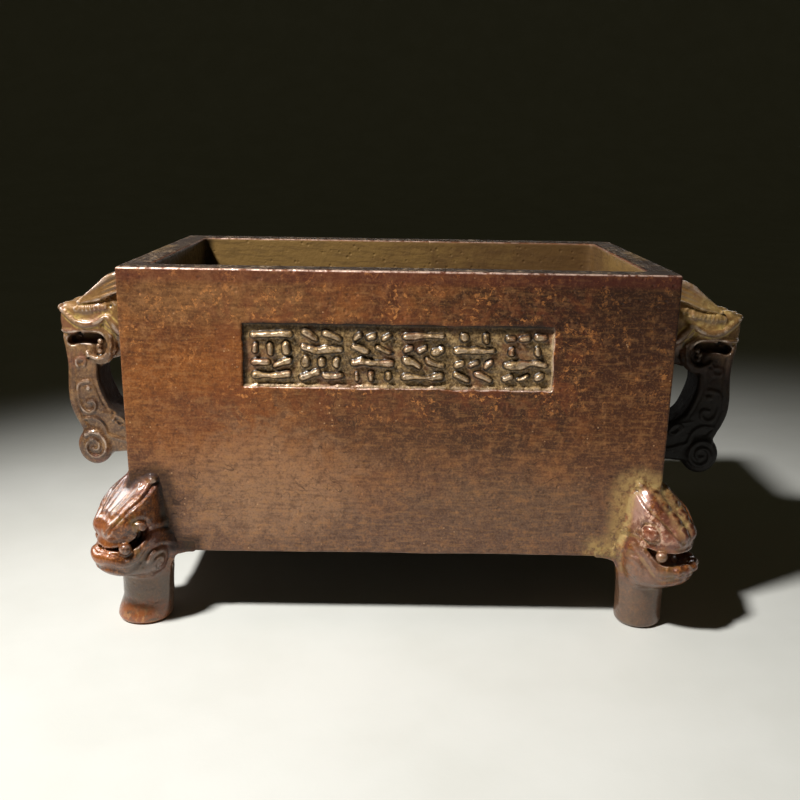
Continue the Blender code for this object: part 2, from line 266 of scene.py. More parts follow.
def spiral(centre, radius, inner, turns, start, squash=1.0, steps=28):
    """Points (x, z) of a flat spiral that winds in about the centre."""
    share = np.linspace(0.0, 1.0, steps + 1)
    reach = radius + (inner - radius) * share
    angle = np.radians(start + 360.0 * turns * share)
    return np.stack([centre[0] + reach * np.cos(angle), centre[1] + squash * reach * np.sin(angle)], 1)


class Clay:
    """A block of sampled distances that shapes are added to and carved from."""

    def __init__(self, low, high):
        self.low = np.array(low, float)
        self.counts = [int(math.ceil((h - l) / CELL)) + 1 for l, h in zip(low, high)]
        self.field = np.full(self.counts, FAR, np.float32)

    def window(self, low, high, margin):
        """The part of the block between two corners, and the places of its points as open grids."""
        first = [max(0, int((l - margin - o) / CELL)) for l, o in zip(low, self.low)]
        last = [min(n, int((h + margin - o) / CELL) + 2) for h, o, n in zip(high, self.low, self.counts)]
        where = tuple(slice(a, max(a, b)) for a, b in zip(first, last))
        lines = [(o + CELL * np.arange(w.start, w.stop)).astype(np.float32) for o, w in zip(self.low, where)]
        return where, np.meshgrid(*lines, indexing="ij", sparse=True)

    def places(self):
        """The places of all of the block's points, as open grids."""
        return self.window(self.low, self.low + CELL * np.array(self.counts), 0.0)[1]

    def add(self, shape, blend, sign=1):
        """Joins a shape on, with a fillet."""
        low, high, distance = shape
        where, places = self.window(low, high, 2.2 + blend)
        self.field[where] = sign * smooth_min(sign * self.field[where], distance(*places), blend)

    def cut(self, shape, blend):
        """Carves a shape away, with a soft edge."""
        self.add(shape, blend, -1)

    def emboss(self, line, width, height):
        """Raises a soft ridge along a line on the surface, or sinks a groove where the height is negative."""
        width = np.broadcast_to(np.array(width, float), (len(line),))
        height = np.broadcast_to(np.array(height, float), (len(line),))
        widest = float(width.max())
        where, places = self.window(line.min(0), line.max(0), widest)
        block = self.field[where]
        near = np.abs(block) < widest + 0.5
        picked = np.argwhere(near)
        points = np.stack([places[axis].ravel()[picked[:, axis]] for axis in range(3)], 1)
        most = np.zeros(len(points))
        for index in range(len(line) - 1):
            start, step = line[index], line[index + 1] - line[index]
            share = np.clip((points - start) @ step / max(step @ step, 1e-9), 0.0, 1.0)
            gap = np.linalg.norm(points - start - share[:, None] * step, axis=1)
            reach = width[index] + share * (width[index + 1] - width[index])
            rise = height[index] + share * (height[index + 1] - height[index])
            bump = np.maximum(1.0 - (gap / reach) ** 2, 0.0) ** 2 * rise
            most = np.where(np.abs(bump) > np.abs(most), bump, most)
        block[near] -= most.astype(np.float32)

    def sample(self, points):
        """The distance at any places, between the block's points."""
        at = np.clip((points - self.low) / CELL, 0.0, np.array(self.counts) - 1.001)
        base = at.astype(int)
        return blend_corners(self.field, base, at - base)

    def normals(self, points):
        """The field's slope at any places."""
        return slope_of(self.sample, points, 0.75 * CELL)

    def mesh(self):
        """Skins the block: returns its corners and its four-sided faces, which point out."""
        inside = self.field < 0
        nx, ny, nz = (n - 1 for n in self.counts)
        corners = list(np.ndindex(2, 2, 2))
        total = sum(inside[i:nx + i, j:ny + j, k:nz + k].astype(np.int8) for i, j, k in corners)
        mixed = (total > 0) & (total < 8)
        cells = np.argwhere(mixed)
        number = np.full(mixed.shape, -1)
        number[mixed] = np.arange(len(cells))
        values = {c: self.field[tuple((cells + c).T)] for c in corners}
        place = np.zeros((len(cells), 3))
        count = np.zeros(len(cells))
        for a in corners:
            for axis in range(3):
                if a[axis]:
                    continue
                first, second = values[a], values[a[:axis] + (1,) + a[axis + 1:]]
                crossed = (first < 0) != (second < 0)
                share = np.where(crossed, first / np.where(crossed, first - second, 1.0), 0.0)
                spot = np.array(a, float) + share[:, None] * np.eye(3)[axis]
                place += np.where(crossed[:, None], spot, 0.0)
                count += crossed
        points = self.low + CELL * (cells + place / count[:, None])
        for _ in range(3):
            slope = self.normals(points)
            move = (self.sample(points) / np.maximum((slope ** 2).sum(1), 0.05))[:, None] * slope
            points -= np.clip(move, -0.4 * CELL, 0.4 * CELL)
        return points, skin_faces(inside, number)


def whole(half):
    """Mirrors a half block of clay to both sides of its middle plane."""
    both = Clay(half.low, half.low)
    both.low[1] = -CELL * (half.counts[1] - 1)
    both.counts = [half.counts[0], 2 * half.counts[1] - 1, half.counts[2]]
    both.field = np.concatenate([half.field[:, :0:-1], half.field], axis=1)
    return both


def weld(clay, wall, blend, spread=2.6, inside=1.5):
    """Runs the clay out over the wall that it grows from, in a soft fillet, and closes it inside the wall."""
    x, y, z = clay.places()
    gap = wall(x, y, z).astype(np.float32)
    joined = smooth_min(clay.field, gap + 0.14, blend(z) if callable(blend) else blend)
    clay.field = highest(joined, clay.field - spread, -inside - gap).astype(np.float32)


def settle(clay, line, rounds=4):
    """Moves a line of places onto the clay's surface."""
    line = np.array(line, float)
    for _ in range(rounds):
        slope = clay.normals(line)
        size = np.maximum((slope ** 2).sum(1), 0.1)[:, None]
        line = line - clay.sample(line)[:, None] * slope / size
    return line


def sink(clay, line, depth):
    """Moves a settled line into the clay by a depth, or out of it where the depth is negative."""
    return line - unit(clay.normals(line)) * depth


def on_side(clay, line, width=9.0, rounds=6):
    """Puts a flat line (x, z) on the clay's side, which is about width from its middle plane."""
    line = np.array(line, float)
    return settle(clay, np.stack([line[:, 0], np.full(len(line), width), line[:, 1]], 1), rounds)


def engrave(clay, line, width, height):
    """Raises or sinks a smooth line (x, z) on the clay's side."""
    clay.emboss(on_side(clay, curve(line)), width, height)


def relief(points, faces, slope, rounds=12):
    """How far each corner of a closed skin stands out from its surroundings."""
    first = faces.ravel()
    second = np.roll(faces, -1, axis=1).ravel()
    count = np.bincount(first, minlength=len(points))
    smooth = points.copy()
    for _ in range(rounds):
        for axis in range(3):
            total = np.bincount(first, smooth[second, axis], len(points))
            smooth[:, axis] = 0.5 * smooth[:, axis] + 0.5 * total / count
    return ((points - smooth) * slope).sum(1)


# the foot's head: height, reach of the snout, half width
HEAD_SHAPE = (
    (11.5, -4.0, 4.0), (13.2, 2.8, 7.2), (14.6, 6.6, 8.4), (16.4, 9.4, 9.2), (18.5, 11.0, 9.7),
    (20.6, 11.8, 9.9), (22.8, 12.2, 10.0), (25.0, 11.9, 9.9), (27.5, 11.0, 9.7), (30.0, 11.0, 9.4),
    (32.5, 10.6, 9.2), (35.0, 8.7, 9.0), (38.0, 5.2, 8.6), (40.2, 2.5, 8.0), (41.9, 0.7, 7.2),
    (43.1, -1.0, 6.0), (43.9, -3.2, 4.2), (44.4, -5.6, 2.5),
)
BROW = ((-5.0, 4.4, 40.6), (-1.5, 5.3, 38.2), (1.2, 5.6, 35.2), (2.6, 5.4, 32.0))
NOSE_STRIP = ((-3, 0, 45.4), (0.5, 0, 43.6), (3.2, 0, 41.0), (6.2, 0, 38.2), (9.4, 0, 35.4), (11.0, 0, 32.6))
NOSE_EDGE = (
    (-5.4, 5.4, 42.0), (-3.4, 6.4, 41.2), (-1.2, 7.0, 39.5), (1.4, 7.0, 37.5),
    (4.3, 6.5, 35.5), (6.8, 5.7, 33.5), (8.9, 4.6, 31.2), (10.4, 3.2, 29.0),
)
NOSE_BUMPS = (
    # upper end, lower end, width
    ((0.8, 2.5, 42.0), (3.6, 2.4, 39.2), 2.3),
    ((6.2, 2.2, 36.6), (7.4, 2.1, 35.2), 2.0),
    ((9.0, 1.8, 33.0), (9.9, 1.7, 31.0), 1.7),
)
MOUTH = (
    (0.4, 9.3, 27.6), (3.0, 8.9, 26.6), (6.0, 7.6, 26.1), (9.0, 5.2, 26.2),
    (11.2, 2.4, 26.4), (11.8, 0.0, 26.4),
)
FOLD = ((-0.6, 9.1, 29.2), (-2.6, 9.4, 29.4), (-5.2, 9.5, 29.2), (-9.5, 9.6, 28.6))
LIP = (
    (-0.8, 8.8, 27.4), (1.6, 8.7, 25.3), (4.0, 8.1, 23.5), (6.4, 7.2, 22.9),
    (8.3, 6.0, 23.6), (10.2, 4.2, 24.2), (11.5, 2.1, 24.0), (11.9, 0, 23.8),
)
LIP_RADII = (0.7, 1.0, 1.05, 1.0, 1.15, 1.25, 1.25, 1.25)
# the two kinds of mask: with an open mouth and a nose with bumps, and nearly shut with a ridged nose
STYLES = {
    "open": {
        "mouth": (0.35, 0.9, 1.7, 2.1, 2.2, 2.2), "mouth_up": (-0.2, -0.4, -1.3, -1.9, -2.1, -2.1),
        "slim": 0.8, "chin": 0.3, "leg": (-4.3, 6.6, 0.2, 0.2), "groove": (0.9, -0.75), "sunk": -0.7,
        "lip_up": -2.5, "lip": 1.05, "valley": (1.8, -0.65), "crest": 0.0,
        "tooth": (5.5, 7.3, 25.4), "tooth_size": 1.6, "curl": 1.0, "scroll": 0.22,
    },
    "shut": {
        "mouth": (1.25, 1.45, 1.15, 0.7, 0.6, 0.7), "mouth_up": (1.5, 0.5, -0.4, -0.8, -0.9, -0.9),
        "slim": 1.1, "chin": 1.7, "leg": (-4.2, 7.1, 2.0, -0.4), "groove": (0.75, -0.5), "sunk": -0.6,
        "lip_up": -1.6, "lip": 1.95, "valley": (1.0, 0.4), "crest": 0.4,
        "tooth": (5.9, 6.75, 25.4), "tooth_size": 1.75, "curl": 0.72, "scroll": 0.5,
    },
}


def head_base(clay, slim, chin):
    """Adds the head's mass, from its plan at each height, with a slimmer snout and a higher chin."""
    back, power = -6.0, 2.3
    heights, reaches, widths = np.array(HEAD_SHAPE).T
    heights = heights + chin * (1.0 - ramp(13.0, 20.0, heights))
    x, y, z = clay.places()
    snout = ramp(17.0, 24.0, z) * (1.0 - ramp(38.0, 46.0, z))
    reach = np.interp(z, heights, reaches) - back - (0.8 + slim) * snout
    neck = 0.12 + 0.24 * ramp(23.0, 30.0, z) + 0.26 * ramp(24.5, 20.0, z)
    neck = neck * ramp(1.0, -9.0, x)
    width = (np.interp(z, heights, widths) - 0.3 * snout) * (1.0 - neck)
    reach = np.maximum(reach, 0.6)
    across = np.abs(y) / width
    along = np.maximum(x - back, 0.0) / reach
    level = (across ** power + along ** power) ** (1.0 / power) - 1.0
    closed = 0.2 * highest(heights[0] - z, z - heights[-1], 0.0) + 0.9 * np.maximum(-8.5 - x, 0.0)
    level = (level + closed).astype(np.float32)
    steep = np.sqrt(sum(g * g for g in np.gradient(level, CELL)))
    near = level / np.maximum(steep, 0.04)
    bound = np.minimum(0.5 * level * np.minimum(width, reach), FAR)
    near = np.where(level > 0, np.maximum(near, bound), near)
    clay.field = smooth_min(clay.field, np.clip(near, -8, FAR).astype(np.float32), 0.5)


def leg(clay, axis, radius, toe, heel):
    """Adds the round leg, flared towards its toe and its heel."""
    x, y, z = clay.places()
    low = 1.0 - ramp(1.0, 7.5, z)
    middle = axis + 0.5 * (toe - heel) * low
    size = radius + 0.5 * (toe + heel) * low
    edge = np.sqrt((x - middle) ** 2 + y * y) - size + LEG_ROUNDING
    shape = np.maximum(rounded((edge, LEG_ROUNDING - z), LEG_ROUNDING), z - 30.0)
    clay.field = smooth_min(clay.field, shape, 2.2)


def web(clay):
    """Fills the corner between the trough's underside and the leg in a hollow curve, flush with the wall."""
    reach, radius, thick = 16.8, 7.0, 5.5
    x, y, z = clay.places()
    out = (x + y) * SLANT
    along = (y - x) * SLANT
    low = UNDERSIDE - radius
    arc = radius - np.hypot(along - reach, np.maximum(z - low, 0.0)) + 0.16 * np.maximum(low - z, 0.0)
    sides = (out + 0.4, -thick - out, along - reach, 3.0 - along, 6.0 - z, z - 23.0)
    clay.field = smooth_min(clay.field, highest(arc, *sides), 1.8)


def sculpt_foot(style):
    """Half of a beast-mask foot. X points out of the trough's corner and Y across it."""
    look = STYLES[style]
    clay = Clay((-17.5, 0.0, -1.0), (15.0, 13.5, 50.0))
    head_base(clay, look["slim"], look["chin"])
    leg(clay, *look["leg"])
    web(clay)
    brow = curve(BROW)
    clay.add(tube(brow, np.linspace(1.4, 3.9, len(brow))), 1.6)
    clay.add(ellipsoid((6.2 - 1.4 * look["slim"], 2.6, 30.6), (4.9, 4.4, 3.0), 8), 1.4)
    clay.add(ellipsoid((-1.9, 3.6, 20.8), (5.2, 6.1, 6.0)), 1.4)
    clay.add(ellipsoid((-4.4, 4.6, 42.9), (1.3, 1.6, 1.1)), 1.1)
    # the nose, a strip sunk between the brows, with bumps or long ridges
    strip = settle(clay, curve(NOSE_STRIP))
    sunk = np.linspace(look["sunk"], 0.6 * look["sunk"], len(strip))
    clay.emboss(strip, np.linspace(6.6, 3.4, len(strip)), sunk)
    if style == "open":
        for high, low, width in NOSE_BUMPS:
            clay.emboss(settle(clay, curve([high, low], 4)), width, 1.0)
    else:
        for across, width, height in ((4.4, 0.9, 0.26), (2.1, 0.8, 0.12)):
            ridge = ((-1.2, 1.0, 43.2), (2.4, 0.95, 40.8), (5.6, 0.8, 37.9), (8.8, 0.6, 34.8))
            ridge = [(x, share * across, z) for x, share, z in ridge]
            clay.emboss(settle(clay, curve(ridge, 4)), width, height)
    # its edge, a groove with a ridge or a valley beside it
    edge = settle(clay, curve(NOSE_EDGE, 4))
    above = edge + np.array([0.55, -0.35, 0.75])
    below = edge - np.array([0.55, -0.25, 0.75])
    clay.emboss(settle(clay, above), *look["valley"])
    clay.emboss(settle(clay, below), 1.1, look["crest"])
    clay.emboss(settle(clay, edge), *look["groove"])
    # the mouth
    mouth = curve(MOUTH)
    along = np.linspace(0, 5, len(mouth))
    mouth[:, 2] += np.interp(along, range(6), look["mouth_up"])
    radii = np.interp(along, range(6), look["mouth"])
    mouth = settle(clay, mouth)
    for depth, share in ((-0.4, 1.0), (1.0, 1.0), (2.4, 0.8), (3.6, 0.8)):
        clay.cut(tube(sink(clay, mouth, depth), radii * share), 0.35)
    # the curl of the nostril
    centre = np.array([2.3, 8.1, 31.8])
    curl = look["curl"]
    ball = settle(clay, [centre])[0] - (0.2, curl, 0.0)
    clay.add(ellipsoid(ball, (2.7 * curl, 2.0 * curl, 2.5 * curl)), 0.9)
    wind = on_side(clay, spiral((2.3, 31.8), 3.3 * curl, 0.8, 1.3, -100, 0.95), 8.1, 4)
    clay.emboss(wind, np.linspace(1.0, 0.9, len(wind)), np.linspace(-0.9, -1.3, len(wind)))
    # the fold from the mouth's corner to the wall
    clay.emboss(settle(clay, curve(FOLD)), 0.95, -0.65)
    # tooth and lip
    clay.add(ellipsoid(look["tooth"], (look["tooth_size"],) * 3), 0.25)
    lip = curve(LIP)
    lip[:, 2] += look["lip_up"] * ramp(1.0, 7.0, lip[:, 0])
    lip = sink(clay, settle(clay, lip), 0.5)
    radii = np.interp(np.linspace(0, 7, len(lip)), range(8), LIP_RADII)
    clay.add(tube(lip, radii * np.linspace(1.0, look["lip"] / 1.25, len(lip))), 0.4)
    if style == "open":
        for spot in ((7.4, 6.4, 21.8), (9.5, 4.6, 21.6), (10.8, 1.9, 21.6)):
            clay.add(ellipsoid(settle(clay, [spot])[0] - (0.7, 0.4, 0.3), (1.5, 1.4, 1.3)), 1.0)
    clay.emboss(settle(clay, lip - np.array([0.2, 0.0, 2.6])), 1.0, -0.35)
    # the scroll on the cheek
    clay.emboss(on_side(clay, spiral((-3.2, 19.4), 4.2, 0.7, 1.7, 20), 9.4, 4), 0.85, look["scroll"])
    rim = [(-3.2 + 5.2 * np.cos(a), 9.2, 19.4 + 5.0 * np.sin(a)) for a in np.radians(np.arange(0, 200, 15))]
    clay.emboss(settle(clay, rim), 0.8, -0.6 * look["scroll"])
    return clay


def foot_wall(x, y, z):
    """Distance to the trough's corner, in the foot's own frame."""
    gaps = ((x + y) * SLANT, (x - y) * SLANT, UNDERSIDE - z)
    return rounded([gap + CORNER_ROUNDING for gap in gaps], CORNER_ROUNDING)


# outlines of the handle's plates
STRAP = (
    (29.4, 75.5), (28.8, 70.0), (28.6, 65.3), (29.1, 58.1), (28.9, 53.3), (27.8, 49.6), (26.2, 46.0),
    (23.0, 40.0), (19.5, 37.2), (15.1, 37.2), (12.3, 37.5), (6.0, 37.6), (-3.0, 37.9), (-3.0, 46.4),
    (3.0, 46.8), (8.0, 48.2), (11.5, 50.2), (13.8, 51.3), (16.0, 53.4), (17.9, 57.8), (18.9, 61.8),
    (18.9, 65.5), (19.2, 70.0), (20.0, 73.0), (24.0, 74.4), (27.5, 76.0),
)
HEAD = (
    (-3.0, 70.2), (6.0, 69.6), (12.1, 69.0), (14.6, 69.2), (15.6, 72.5), (17.0, 75.8), (20.0, 76.9),
    (24.0, 76.8), (26.2, 75.0), (28.2, 72.8), (29.6, 74.5), (30.2, 79.0), (30.0, 82.0), (29.0, 84.2),
    (27.0, 85.2), (24.0, 85.4), (19.0, 86.2), (13.0, 88.6), (6.0, 91.2), (-3.0, 93.0),
)
INNER = (
    (12.0, 69.2), (15.4, 67.9), (17.6, 66.2), (19.5, 64.8), (23.0, 66.0), (24.0, 73.0), (23.0, 77.5),
    (15.0, 78.0), (12.5, 74.0),
)
MANE = (
    (-3.0, 97.6), (5.0, 96.8), (11.0, 95.6), (14.2, 94.4), (16.6, 92.3), (19.8, 89.6), (22.7, 87.3),
    (23.7, 86.1), (22.6, 85.6), (17.4, 86.4), (13.7, 88.0), (10.0, 89.4), (-3.0, 92.0),
)
# lines in space on the handle's head
CRESCENT = (
    (30.6, 1.2, 83.6), (30.0, 4.6, 83.5), (28.6, 6.6, 83.0), (26.9, 7.6, 81.6), (24.6, 8.2, 80.1),
    (21.6, 8.5, 79.3), (18.6, 8.5, 79.7), (16.6, 8.5, 80.7), (15.0, 8.5, 82.0), (13.6, 8.4, 80.6),
    (12.3, 8.3, 78.9), (10.8, 8.1, 77.0), (8.5, 7.9, 75.2),
)
CRESCENT_RADII = (1.2, 1.2, 1.15, 1.1, 1.1, 1.1, 1.0, 0.95, 0.9, 1.1, 1.3, 1.3, 1.0)
LOWER_LIP = (
    (30.0, 1.0, 77.0), (29.2, 4.5, 76.9), (27.8, 6.4, 76.8), (25.1, 7.6, 76.8), (21.9, 8.0, 76.8),
    (19.1, 8.0, 77.2), (17.0, 8.0, 76.9), (15.7, 7.9, 75.6), (15.3, 7.8, 73.8), (15.5, 7.6, 71.8),
    (15.9, 7.5, 70.2),
)
RING = (
    (17.4, 6.8, 78.0), (15.2, 7.0, 77.4), (14.0, 7.0, 75.2), (13.8, 7.0, 72.6), (14.6, 6.8, 70.2),
    (16.2, 6.4, 68.4), (18.4, 6.2, 67.8), (20.8, 6.2, 68.8), (22.0, 6.2, 70.2),
)
RING_RADII = (0.7, 1.1, 1.4, 1.5, 1.5, 1.45, 1.3, 1.0, 0.6)
MANE_TOP = ((-1.0, 98.5), (8.0, 96.9), (13.2, 95.4), (16.8, 92.9), (20.6, 89.7), (23.6, 87.0))
SCROLL = (
    (22.3, 60.9), (23.6, 60.7), (25.2, 60.0), (26.0, 58.0), (25.9, 54.8), (25.0, 52.0), (23.1, 50.7),
    (21.3, 51.5), (20.7, 52.9), (21.2, 54.2), (22.7, 54.1),
)
# lines that are raised or sunk on the strap's side: line, width, height
STRAP_SCROLLS = (
    (((24.4, 48.6), (22.3, 48.9), (20.1, 48.1), (18.3, 46.2), (17.0, 43.7), (14.9, 42.3), (11.6, 41.3),
      (5.0, 40.6)), 0.8, 0.7),
    (((15.4, 48.3), (14.4, 49.5), (12.5, 48.8), (11.5, 46.9), (13.2, 46.2), (14.3, 47.3)), 0.75, 0.65),
    (((18.2, 50.4), (15.6, 50.2), (17.0, 52.5)), 0.6, 0.3),
    (((9.5, 47.6), (8.0, 45.6), (5.2, 45.0), (4.4, 42.8), (6.4, 42.3)), 0.75, 0.65),
)


def head_width(x, z):
    """Half the handle head's width."""
    snout = 3.6 * np.clip((x - 20.0) / 11.0, 0.0, 1.0) ** 2.2
    neck = 1.0 - ramp(4.0, 13.0, x)
    jaw = 1.3 * (1.0 - ramp(72.0, 77.5, z))
    crown = 1.2 * ramp(84.0, 88.5, z)
    return 8.1 - snout - neck - jaw - crown


def mane_width(x, z):
    return 8.6 - 0.7 * ramp(14.0, 22.0, x)


def sculpt_handle():
    """Half of a handle. X points out of the trough's end and Y across it."""
    clay = Clay((-2.2, 0.0, 30.5), (34.0, 10.5, 100.0))
    plates = (
        (STRAP, 6.4, 1.3, 0.6), (INNER, 5.5, 0.8, 0.5),
        (HEAD, head_width, 1.6, 0.5), (MANE, mane_width, 0.8, 0.25),
    )
    for outline, half, rounding, blend in plates:
        clay.add(plate(closed_curve(outline), half, rounding), blend)
    # the scroll at the foot of the strap, and the gap above it
    turn = np.radians(np.arange(0, 360, 12))
    disc = np.stack([21.9 + 5.5 * np.cos(turn), 39.3 + 6.2 * np.sin(turn)], 1)
    clay.add(plate(disc, 6.8, 1.6), 1.0)
    clay.cut(tube([(28.6, 0.0, 46.3), (28.6, 12.0, 46.3)], 2.0), 0.8)
    # snout and brow
    clay.add(ellipsoid((27.6, 0.0, 80.2), (3.4, 5.2, 4.0), -10), 1.2)
    clay.add(ellipsoid((26.4, 3.9, 84.3), (2.9, 2.3, 1.7), 15), 0.8)
    clay.add(ellipsoid((29.0, 2.0, 83.4), (1.7, 1.5, 1.4)), 0.6)
    clay.cut(ellipsoid((21.0, 4.6, 86.8), (2.6, 2.0, 1.5), 8), 0.6)
    # lips
    upper = curve(CRESCENT)
    radii = np.interp(np.linspace(0, 12, len(upper)), range(13), CRESCENT_RADII)
    clay.add(tube(sink(clay, settle(clay, upper), 0.35), radii), 0.5)
    lower = settle(clay, curve(LOWER_LIP))
    clay.add(tube(sink(clay, lower, 0.15), 0.62), 0.35)
    # the mouth below the lower lip
    cavity = curve([(26.3, 7.2, 73.9), (24.2, 7.6, 74.5), (21.4, 7.6, 74.6), (18.4, 7.6, 74.4)])
    for depth, reach in ((0.0, 1.75), (1.8, 1.6), (3.2, 1.3)):
        clay.cut(tube(cavity - np.array([0.0, depth, 0.0]), reach), 0.35)
    # ring round the corner of the mouth, with beads and a curl
    ring = curve(RING)
    clay.add(tube(ring, np.interp(np.linspace(0, 8, len(ring)), range(9), RING_RADII)), 0.5)
    for x, z, size in ((17.5, 73.9, 0.85), (18.1, 72.4, 0.8), (17.9, 70.9, 0.75)):
        clay.add(ellipsoid((x, 6.6, z), (size, size, size)), 0.25)
    engrave(clay, [(21.9, 70.6), (20.4, 69.7), (18.6, 69.2), (17.2, 69.3), (16.3, 70.2)], 0.8, 0.4)
    engrave(clay, [(22.6, 68.0), (20.6, 67.0), (18.2, 65.9), (16.4, 66.9)], 0.9, -0.4)
    engrave(clay, [(16.0, 79.0), (13.9, 77.2), (12.4, 75.4), (12.4, 72.2), (13.2, 70.2)], 0.9, -0.5)
    engrave(clay, [(11.0, 71.0), (12.2, 70.0), (13.5, 70.2)], 0.8, 0.4)
    # cheek, lashes, eye and ear
    engrave(clay, [(23.6, 82.0), (20.4, 81.9), (16.8, 83.0), (13.6, 83.6)], 1.7, -0.5)
    for x in (22.0, 20.7, 19.4, 18.1, 16.8, 15.5):
        clay.emboss(on_side(clay, [(x + 0.25, 85.3), (x - 0.1, 83.7)]), 0.62, 0.42)
    clay.emboss(on_side(clay, spiral((24.2, 84.6), 1.5, 0.5, 1.2, 60, steps=14)), 0.6, 0.45)
    clay.cut(ellipsoid((13.2, 9.0, 85.2), (1.3, 1.8, 0.9), 30), 0.4)
    engrave(clay, [(14.7, 84.4), (14.8, 86.0), (13.2, 86.9), (11.7, 86.0)], 0.6, 0.4)
    # hair: fine grooves that run out to the point of the mane
    for share in (0.2, 0.5, 0.8):
        line = curve([(-2.0, 91.6 + 6.2 * share), (10.0, 89.6 + 5.6 * share), (22.9, 86.2 + 0.9 * share)], 5)
        line = on_side(clay, line)
        clay.emboss(line, np.linspace(0.9, 0.6, len(line)), np.linspace(-1.1, -0.35, len(line)))
    for across in (1.1, 3.0, 4.9, 6.8):
        line = curve([(x, across * (1.0 - 0.012 * x), z) for x, z in MANE_TOP], 4)
        clay.emboss(settle(clay, line), 0.85, np.linspace(-1.0, -0.4, len(line)))
    # the strap's sunk edges and raised scrolls
    outer = [(26.6, 71.0), (26.6, 65.3), (26.6, 60.5), (26.5, 55.7), (25.6, 51.9), (24.3, 48.3), (22.8, 46.6)]
    engrave(clay, outer, 0.8, -0.4)
    engrave(clay, [(20.3, 66.0), (20.6, 62.0), (19.6, 57.6), (17.8, 53.2), (15.4, 50.6)], 0.7, -0.25)
    turn = np.radians(np.arange(-50, 250, 25))
    ring = np.stack([24.3 + 1.35 * np.cos(turn), 66.9 + 1.35 * np.sin(turn)], 1)
    clay.emboss(on_side(clay, ring), 0.75, 0.75)
    engrave(clay, [(23.2, 68.3), (22.2, 69.4), (21.6, 70.4)], 0.7, 0.4)
    engrave(clay, SCROLL, 0.82, 0.8)
    clay.add(ellipsoid((22.5, 6.3, 58.6), (0.9, 0.6, 0.8), 20), 0.3)
    for line, width, height in STRAP_SCROLLS:
        engrave(clay, line, width, height)
    clay.emboss(on_side(clay, spiral((21.9, 39.4), 4.5, 0.8, 1.7, 50, 1.12)), 0.8, 0.75)
    # a ridge along the strap's outer face, and a groove at each side of it
    for across, height in ((0.0, 0.3), (4.6, -0.3)):
        line = ((29.2, 71.0), (28.6, 65.3), (28.8, 58.1), (28.4, 53.3), (27.2, 49.9))
        clay.emboss(settle(clay, curve([(x, across, z) for x, z in line], 4)), 0.8, height)
    return clay


def handle_wall(x, y, z):
    """Distance to the trough's end wall, in the handle's own frame."""
    return x + 0.0 * (y + z)


def line_places(low, high, step, edges):
    """Places of a lattice's lines: step apart, and closer at the edges."""
    fine = (0.15, 0.35, 0.6, 0.9, 1.3)
    places = list(np.linspace(low, high, int(round((high - low) / step)) + 1))
    for edge in edges:
        places = [p for p in places if abs(p - edge) > fine[-1] + 0.3 * step]
        near = [edge] + [edge + side * gap for side in (-1, 1) for gap in fine]
        places += [p for p in near if low <= p <= high]
    return np.unique(np.round(places, 4))


def lattice_shell(lines, solid):
    """The skin of the solid cells of an uneven lattice: corners and faces that point out."""
    centres = np.meshgrid(*[(l[1:] + l[:-1]) / 2 for l in lines], indexing="ij")
    counts = [len(l) for l in lines]
    faces = skin_faces(np.pad(solid(*centres), 1), np.arange(math.prod(counts)).reshape(counts))
    used, faces = np.unique(faces, return_inverse=True)
    corners = np.unravel_index(used, counts)
    return np.stack([line[index] for line, index in zip(lines, corners)], 1), faces.reshape(-1, 4)


def trough_distance(points):
    """Distance to the trough: a thick box, its cavity and the pocket of its panel."""
    outer = box_distance(points, (-HALF_LENGTH, -HALF_WIDTH, UNDERSIDE), (HALF_LENGTH, HALF_WIDTH, TOP), 0.75)
    cavity = box_distance(points, (WALL - HALF_LENGTH, WALL - HALF_WIDTH, FLOOR_TOP),
                          (HALF_LENGTH - WALL, HALF_WIDTH - WALL, TOP + 60.0), 2.5)
    ragged = 0.22 * noise(points, 2.6) + 0.12 * noise(points, 1.1, 7.3)
    pocket = box_distance(points, (-PANEL_HALF, -60.0, PANEL_LOW),
                          (PANEL_HALF, PANEL_GROUND + 1.0, PANEL_HIGH), 0.5)
    worn = 0.75 + 0.45 * noise(points, 9.0, 3.1)
    return smooth_max(smooth_max(outer, -cavity, 0.9), -(pocket + ragged), worn)


def trough_mesh():
    """The trough's skin, with its roundings, worn edges and uneven casting."""
    half_x, half_y = HALF_LENGTH - WALL, HALF_WIDTH - WALL
    pocket_back = PANEL_GROUND + 1.0
    lines = [
        line_places(-HALF_LENGTH, HALF_LENGTH, 1.45,
                    (-HALF_LENGTH, -half_x, -PANEL_HALF, PANEL_HALF, half_x, HALF_LENGTH)),
        line_places(-HALF_WIDTH, HALF_WIDTH, 1.9, (-HALF_WIDTH, pocket_back, -half_y, half_y, HALF_WIDTH)),
        line_places(UNDERSIDE, TOP, 1.35, (UNDERSIDE, FLOOR_TOP, PANEL_LOW, PANEL_HIGH, TOP)),
    ]

    def solid(x, y, z):
        hollow = (np.abs(x) < half_x) & (np.abs(y) < half_y) & (z > FLOOR_TOP)
        pocket = (np.abs(x) < PANEL_HALF) & (y < pocket_back) & (z > PANEL_LOW) & (z < PANEL_HIGH)
        return ~(hollow | pocket)

    points, faces = lattice_shell(lines, solid)
    for _ in range(5):
        slope = slope_of(trough_distance, points, 0.05)
        size = np.maximum((slope ** 2).sum(1), 0.2)
        points -= np.clip(trough_distance(points) / size, -0.8, 0.8)[:, None] * slope
    return points, faces


STROKE_GROUPS = 6
STROKE_ROWS = (0.40, 0.13, -0.14, -0.41)
STROKE_LEANS = (0, 24, 90, -24, 12)
STROKE_FIELD = 13.5


